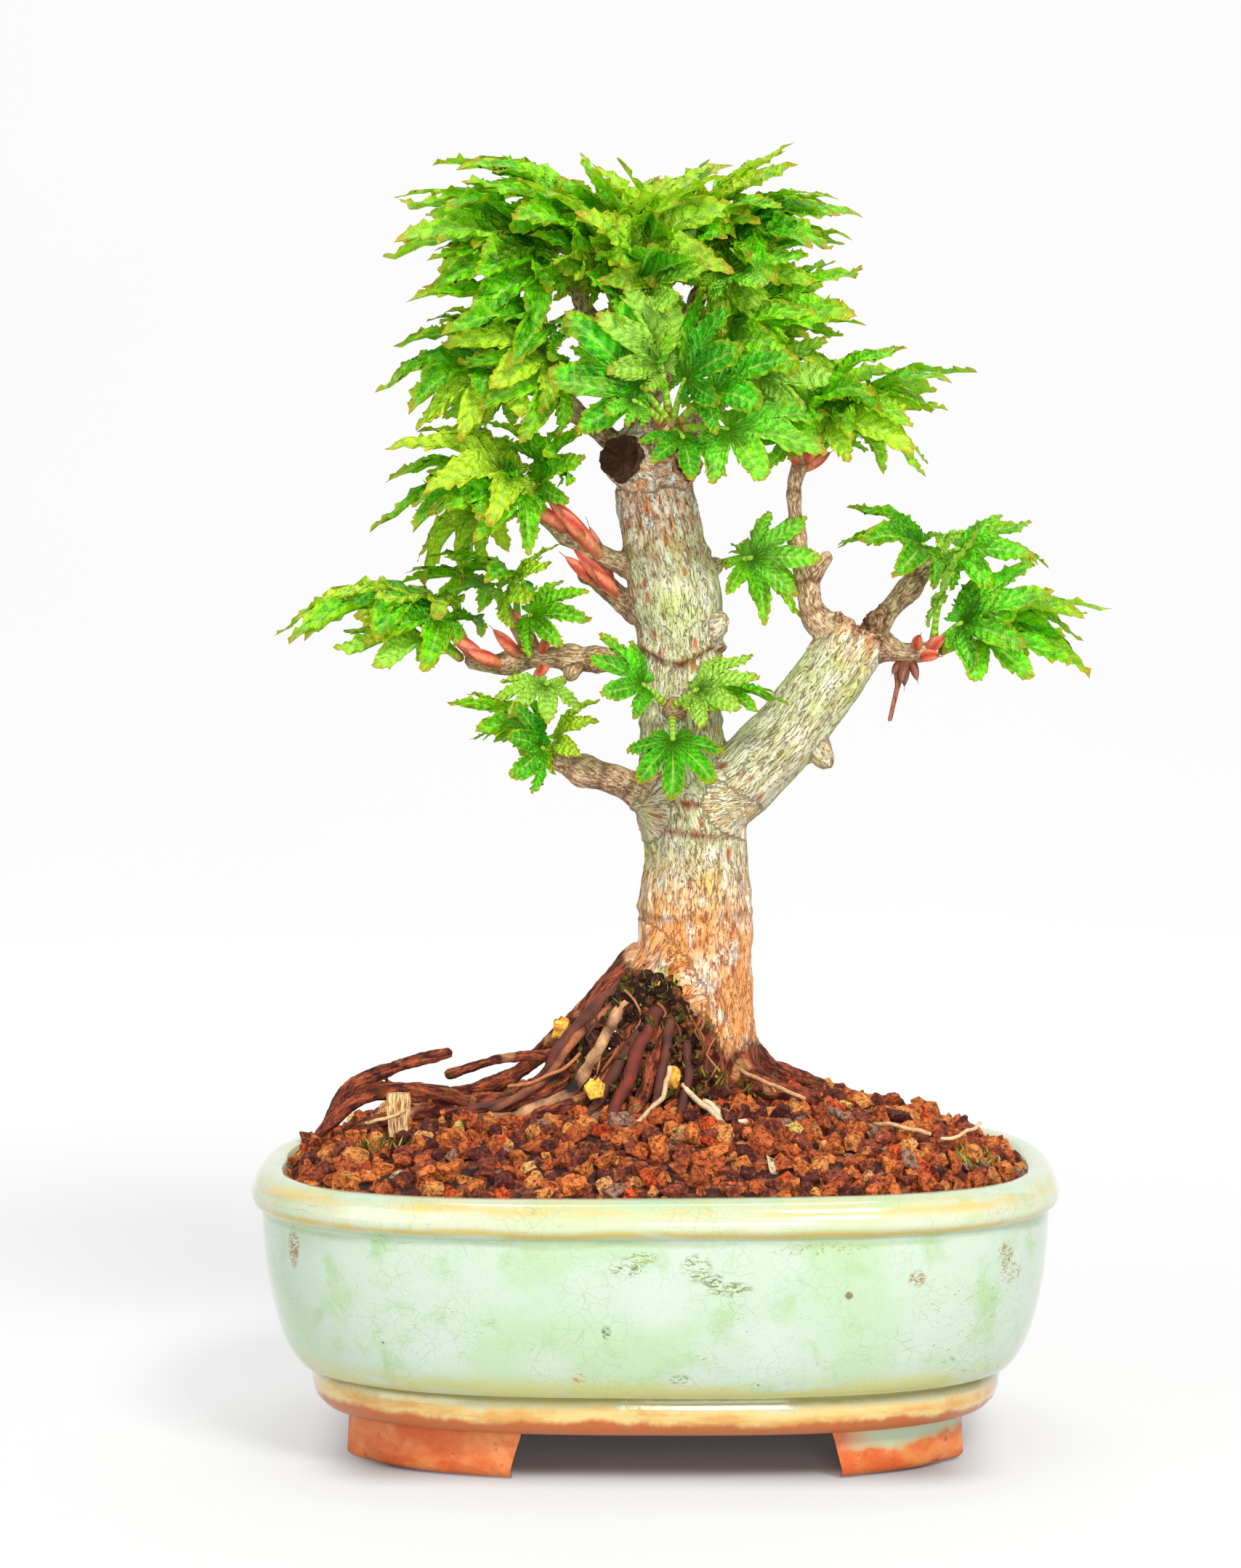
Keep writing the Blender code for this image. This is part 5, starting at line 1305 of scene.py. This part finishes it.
FLAT = {64, 5, 38, 39, 10, 11, 57, 58, 61, 30}  # the numbers of those that are open, not clawed
TRIMMED = {"open_leaf_04": (4, 5)}  # the lobe that would hide the cut stub


def leaf_place(seat, tip, roll):
    ahead = tip - seat
    x = ahead.normalized()
    up = Vector((0, 0, 1)) - x * x.z
    if up.length < 0.05:
        up = Vector((0, -1, 0)) + x * x.y
    z = (Matrix.Rotation(math.radians(roll), 3, x) @ up.normalized()).normalized()
    y = z.cross(x)
    turn = Matrix((x, y, z)).transposed().to_4x4()
    return Matrix.Translation(seat) @ turn @ Matrix.Scale(ahead.length, 4)


def make_leaves():
    looks = {
        "open": leaf_material("maple_leaf", srgb(2, 150, 0), srgb(88, 255, 16), srgb(206, 255, 100)),
        "claw": leaf_material("young_maple_leaf", srgb(10, 146, 0), srgb(124, 255, 6), srgb(226, 255, 64)),
    }
    models = {kind: plain_leaf(kind) for kind in KINDS}
    worst = 0.0
    for name, node in sorted(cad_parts.items()):
        kind = name.split("_")[0]
        if "_leaf_" not in name:
            continue
        points = np.array([tuple(v.co) for v in node.data.vertices])
        place, error = find_leaf(np.unique(points.round(6), axis=0), models[kind])
        worst = max(worst, error)
        number = int(name.split("_")[-1])
        seed = number + (100 if kind == "open" else 0)
        add_leaf(f"fine_{name}", kind, place, seed, looks, name, TRIMMED.get(name, ()))
    print("leaves found to within %.4f of their length" % worst)
    further = [(seat, leaf) for seat, leaves in MORE_LEAVES for leaf in leaves]
    for number, (seat, (x, y, z, roll)) in enumerate(further):
        kind = "open" if number + 1 in FLAT else "claw"
        facing = 24 * math.copysign(1, x - seat[0]) if y < 8 else 0
        place = leaf_place(listed(*seat), listed(x, y, z), roll + facing)
        add_leaf(f"more_leaf_{number + 1:02d}", kind, place, 300 + number, looks)


# ---------------------------------------------------------------- small things

SHEATHS = [  # a scale's foot and tip, and half its width, in listed mm
    ((-10, -3.4, 159.4), (-22.5, -5.5, 172.5), 2.4), ((-16, -4.6, 164), (-26, -8, 170.5), 1.9),
    ((-13, -5, 162.4), (-19, -8, 169.6), 1.8), ((-8, -1, 153), (-17.6, -2, 164), 2.0),
    ((-10, 1, 154), (-19, -3, 160), 1.9), ((-7, -3, 152), (-13, -7, 158.5), 1.8),
    ((-31, -2.4, 139.6), (-40.6, -4.6, 146.4), 2.0), ((-28, -2, 139.2), (-37, -5.6, 142.2), 2.0),
    ((-25, -2.4, 140.6), (-31.6, -5, 147.0), 1.7), ((-22, -1, 142.6), (-28.0, -2, 150.6), 1.6),
    ((27.4, -1.4, 176), (31.4, -4.6, 183), 1.8), ((27.4, -1.4, 175.6), (34.0, -4, 178.6), 1.7),
    ((27.0, -1.4, 176), (22.4, -4.6, 181), 1.6), ((49.6, -3, 142), (55.4, -6.6, 144.8), 1.9),
    ((48.6, -3, 141.4), (54.0, -7, 140.0), 1.9), ((48.0, -3, 142), (50.2, -7.4, 146.4), 1.6),
    ((-5.0, -1.0, 200), (-9.6, -6, 208), 1.8), ((-16, 0, 187.4), (-24.6, -4, 194), 1.8),
    ((-17, 0, 188), (-23, -5, 190.6), 1.7), ((1.6, -8, 182), (-2, -12, 189), 1.6),
    ((-22, -1.6, 141), (-17.4, -4.8, 146.4), 1.6), ((-20, -0.6, 140), (-23.4, -4, 134.6), 1.5),
    ((-8, 0, 154), (-13.6, 0.4, 166.6), 1.8),
]

WITHERED = [  # dry scales round the withered stalk's top
    ((46.6, -3, 141.0), (45.6, -4.6, 134.6), 1.3), ((47.4, -2, 141.0), (48.6, -3.4, 135.2), 1.2),
    ((46.0, -2, 140.4), (43.4, -3.0, 136.8), 1.2), ((46.4, -2.4, 140.8), (46.6, -1.0, 135.0), 1.3),
]


def make_sheaths():
    """Long pointed red scales that clasp the foot of each shoot."""
    soup = Soup()
    for number, (base, tip, half) in enumerate(SHEATHS + WITHERED):
        a, b = listed(*base), listed(*tip)
        ahead = (b - a).normalized()
        side = ahead.cross(Vector((0.2 * math.sin(number * 2.1), -1, 0.4))).normalized()
        out = side.cross(ahead)
        rows, columns = 14, 8
        verts, tones = [], []
        for i in range(rows + 1):
            u = i / rows
            wide = 0.74 * half * MM * (math.sin(math.pi * min(1.0, u * 0.93 + 0.20) ** 1.25) ** 0.8 + 0.04)
            bow = 1.3 * MM * math.sin(math.pi * u * 0.9) + 1.8 * MM * u**4
            for k in range(columns + 1):
                w = 2 * k / columns - 1
                rib = 0.10 * MM * math.cos(w * 14)
                lift = wide * math.cos(w * 1.25) - 0.6 * wide + bow + rib
                verts.append(a + (b - a) * u + side * wide * math.sin(w * 1.25) + out * lift)
                pale = 0.5 + 0.5 * math.sin(u * 5 + w * 4 + number)
                red = mix_tuple(srgb(190, 50, 34), srgb(246, 146, 108), pale)
                if number >= len(SHEATHS):
                    red = mix_tuple(red, srgb(96, 52, 30), 0.85)
                red = mix_tuple(red, srgb(146, 120, 54), max(0.0, 0.35 - u) * 1.6)
                tones.append(mix_tuple(red, srgb(96, 40, 26), max(0.0, u - 0.72) * 3.2))
        faces = []
        for i in range(rows):
            for k in range(columns):
                c = i * (columns + 1) + k
                faces.append((c, c + 1, c + columns + 2, c + columns + 1))
        soup.add(verts, faces, tones)
    obj = soup.build("bud_sheaths", tone_material("bud_scale", 0.42))
    keep(obj, "dry_stem")


def mix_tuple(a, b, k):
    return tuple(x + (y - x) * k for x, y in zip(a, b))


def tone_material(name, roughness):
    mat = new_material(name)
    mm = position()
    tone = attribute("tone", "Color")
    speck = noise_node(mm, 1.2, 4, 0.6)
    colour = mix(step(speck, 0.35, 0.65), mix(0.35, tone, (0.05, 0.02, 0.01, 1)), tone)
    principled(colour, roughness, bump(speck, 0.5, 0.3 * MM))
    return mat


def make_fine_roots():
    """Loose threads of root and straw on the soil and the root crown."""
    soup = Soup()
    lines = [
        ([(3, -17, 66), (1, -20, 60), (-3, -22, 57), (-6, -26, 55)], 0.5, (222, 190, 146)),
        ([(5, -17, 63), (8, -21, 60), (12, -25, 57), (14, -30, 55)], 0.55, (228, 200, 160)),
        ([(9, -20, 60), (13, -24, 57.5), (17, -24, 57)], 0.6, (238, 214, 178)),
        ([(-14, -12, 68), (-19, -14, 64), (-27, -14, 62)], 0.35, (196, 120, 72)),
        ([(16, -8, 64), (22, -12, 62), (27, -15, 60)], 0.4, (210, 160, 110)),
        ([(40, -20, 56), (45, -24, 56), (50, -25, 55)], 0.4, (214, 176, 130)),
        ([(52, -25, 54), (57, -22, 55), (60, -18, 56)], 0.35, (226, 196, 150)),
        ([(-46, -20, 58), (-49, -22, 57), (-53, -20, 56)], 0.35, (220, 180, 120)),
    ]
    for points, radius, tone in lines:
        path = smooth_path([(listed(*p), radius * MM) for p in points], 1.2 * MM)
        path = [(p + noise.noise_vector(p * 300) * 0.8 * MM, r) for p, r in path]
        verts, faces = tube(path, 7)
        soup.add(verts, faces, srgb(*tone))
    strands = [
        (
            [
                (-1.6, -9, 82), (-7, -12, 75), (-11.2, -13.5, 68),
                (-16, -16, 61), (-26, -18, 57), (-33, -18, 56),
            ],
            1.15,
            (226, 170, 118),
        ),
        (
            [(-3, -8, 82), (-12, -9, 75), (-18.4, -10, 67), (-22, -12, 60), (-34, -15, 57.5)],
            1.3,
            (122, 58, 40),
        ),
        ([(0.4, -12, 76), (-3.6, -15, 67), (-6.6, -17, 60), (-8.4, -20, 56)], 1.35, (132, 44, 30)),
        ([(-2.4, -12, 73), (-8, -15, 64), (-11.5, -18, 58), (-16, -21, 56)], 1.0, (96, 44, 28)),
        ([(2.8, -13, 74), (1.4, -16, 66), (-0.6, -19, 58)], 0.9, (110, 50, 30)),
        ([(-5, -10, 79), (-14, -11, 71), (-21, -13, 62.5), (-30, -17, 58)], 0.8, (176, 104, 64)),
        ([(6, -13, 70), (6, -17, 63), (4, -20, 57)], 0.8, (90, 40, 24)),
    ]
    for points, radius, tone in strands:
        path = smooth_path([(listed(*p), radius * MM) for p in points], 0.9 * MM)
        path = [(p, r * (1 + 0.3 * noise.noise(p * 500))) for p, r in path]
        path = [(p + noise.noise_vector(p * 240) * 0.5 * MM, r) for p, r in path]
        verts, faces = tube(path, 9)
        dark = srgb(70, 28, 18)
        tones = [mix_tuple(srgb(*tone), dark, max(0.0, 0.5 + noise.noise(v * 400))) for v in verts]
        soup.add(verts, faces, tones)
    rng = random.Random(5)
    for _ in range(60):  # hair roots in the crown's face
        x, z = rng.uniform(-12, 12), rng.uniform(60, 80)
        y = -10 - rng.uniform(0, 3.5)
        points = [(x, y, z)]
        for _ in range(3):
            x, y, z = x + rng.uniform(-2.6, 2.0), y - rng.uniform(-0.6, 1.4), z - rng.uniform(1.5, 3.6)
            points.append((x, y, max(z, 58)))
        path = smooth_path([(listed(*p), rng.uniform(0.16, 0.34) * MM) for p in points], 1.5 * MM)
        verts, faces = tube(path, 5)
        tone = rng.choice([(120, 60, 34), (86, 40, 26), (178, 116, 70), (150, 90, 40)])
        soup.add(verts, faces, srgb(*tone))
    keep(soup.build("fine_roots", tone_material("fine_root", 0.8)), "dry_stem")


def make_moss():
    """Short blades of moss in tufts on the root crown and in the soil."""
    soup = Soup()
    rng = random.Random(11)
    greens = [(120, 130, 30), (92, 112, 24), (168, 168, 44), (70, 84, 20), (196, 190, 70)]
    tufts = [(-3, -10, 79, 60), (-8, -9, 74, 50), (-1, -12, 72, 50), (2, -11, 80, 40), (6, -13, 66, 40)]
    tufts += [(-12, -11, 67, 40), (12, -11, 62, 40), (18, -8, 60, 20), (-52, -22, 55, 46), (-47, -26, 55, 30)]
    tufts += [(60, -20, 55, 46), (58, -26, 53, 24), (0, -13, 64, 40), (-6, -14, 62, 40)]
    for x, y, z, count in tufts:
        for _ in range(count):
            at = (x + rng.gauss(0, 2.2), y + rng.gauss(0, 1.5), z + rng.gauss(0, 1.6))
            base = listed(*at)
            if z < 60:
                base.z = soil_top(base.x - POT_X, base.y - POT_Y) + 1.4 * MM
            lean = Vector((rng.gauss(0, 0.5), -0.5 + rng.gauss(0, 0.5), 1)).normalized()
            tall = rng.uniform(1.0, 2.6) * MM
            side = lean.cross(Vector((rng.gauss(0, 1), rng.gauss(0, 1), 0.2))).normalized() * 0.22 * MM
            tip = base + lean * tall + Vector((rng.gauss(0, 0.4) * MM, rng.gauss(0, 0.4) * MM, 0))
            middle = (base + tip) / 2
            green = srgb(*rng.choice(greens))
            if z > 60 and at[2] > 86 + 1.3 * at[0]:
                continue  # it would stand in the air beside the crown
            blade = [base - side, base + side, middle + side * 0.8, tip, middle - side * 0.8]
            soup.add(blade, [(0, 1, 2, 4), (4, 2, 3)], green)
    keep(soup.build("moss", tone_material("moss_blade", 0.7)), "leaf")


def make_crown_soil():
    """Dark lumps of old soil held between the roots under the trunk."""
    soup = Soup()
    rng = random.Random(3)
    shapes = stone_shapes(12)
    tones = [(58, 28, 16), (82, 44, 22), (44, 20, 12), (120, 66, 30), (96, 84, 26), (140, 84, 40)]
    for _ in range(420):
        u = rng.random()
        z = 58 + 24 * u
        reach = 12.5 * (1 - u) + 3
        x = -1 + rng.uniform(-1, 1) * (reach + 3) * (1 - 0.25 * u) - 4 * (1 - u)
        y = -8.5 - 6.0 * (1 - u) - rng.uniform(0, 2.5) + 0.018 * x * x
        at = listed(x, y, z)
        verts, faces = rng.choice(shapes)
        turn = random_turn()
        size = rng.uniform(1.2, 3.4) * MM
        tone = rng.choice(tones)
        soup.add([at + turn @ v * size / 2 for v in verts], faces, srgb(*tone))
    crown = soup.build("crown_soil", grain_material())
    keep(crown, "soil")


def make_pumice(look):
    """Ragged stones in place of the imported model's plain ones."""
    for name in sorted(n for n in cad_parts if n.startswith("pumice")):
        low, high = (Vector(corner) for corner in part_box(name))
        verts, faces = stone_shapes(1, 3)[0]
        widest = [max(abs(v[k]) for v in verts) for k in range(3)]
        size = (high - low) / 2
        places = [(low + high) / 2 + Vector([v[k] / widest[k] * size[k] for k in range(3)]) for v in verts]
        keep(mesh_object(name + "_stone", places, faces, look), "pumice", name)


def paint_small_nodes():
    """Materials for the CAD nodes that stay as they are."""
    straw, withered = ((150, 84, 36), (240, 210, 150)), ((86, 40, 26), (178, 108, 70))
    stone = ((206, 120, 20), (255, 214, 84))
    looks = {
        "dry_stalk": speckled("dry_straw", straw, (2.2, 4, 0.6), 0.75, (0.9, 0.5), (1, 1, 0.2)),
        "dead_stalk": speckled("withered_stalk", withered, (2.0, 4, 0.6), 0.7, (0.7, 0.3), (1, 1, 0.3)),
    }
    make_pumice(speckled("yellow_pumice", stone, (0.8, 5, 0.65), 0.85, (0.8, 0.6)))
    for word, name, tints, scale, roughness, relief, metal in (
        ("drain_screen", "screen_mesh", ((22, 42, 28), (40, 66, 44)), 0.5, 0.5, 0.2, 0.0),
        ("screen_clip", "clip_wire", ((120, 84, 56), (160, 120, 86)), 1.0, 0.35, 0.1, 1.0),
    ):
        looks[word] = new_material(name)
        mm = position()
        colour = mix(noise_node(mm, scale, 3), *(srgb(*tint) for tint in tints))
        principled(colour, roughness, bump(noise_node(mm, 3, 3), relief, 0.1 * MM), Metallic=metal)
    for name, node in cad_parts.items():
        for word, look in looks.items():
            if name.startswith(word):
                set_look(node, look)


# ---------------------------------------------------------------- all


place_camera()
place_lights()
place_floor()
make_pot()
make_feet()
make_soil()
make_crown_soil()
make_tree()
make_leaves()
make_sheaths()
make_fine_roots()
make_moss()
paint_small_nodes()
bpy.context.scene.view_settings.view_transform = "Standard"
bpy.context.scene.view_settings.look = "None"
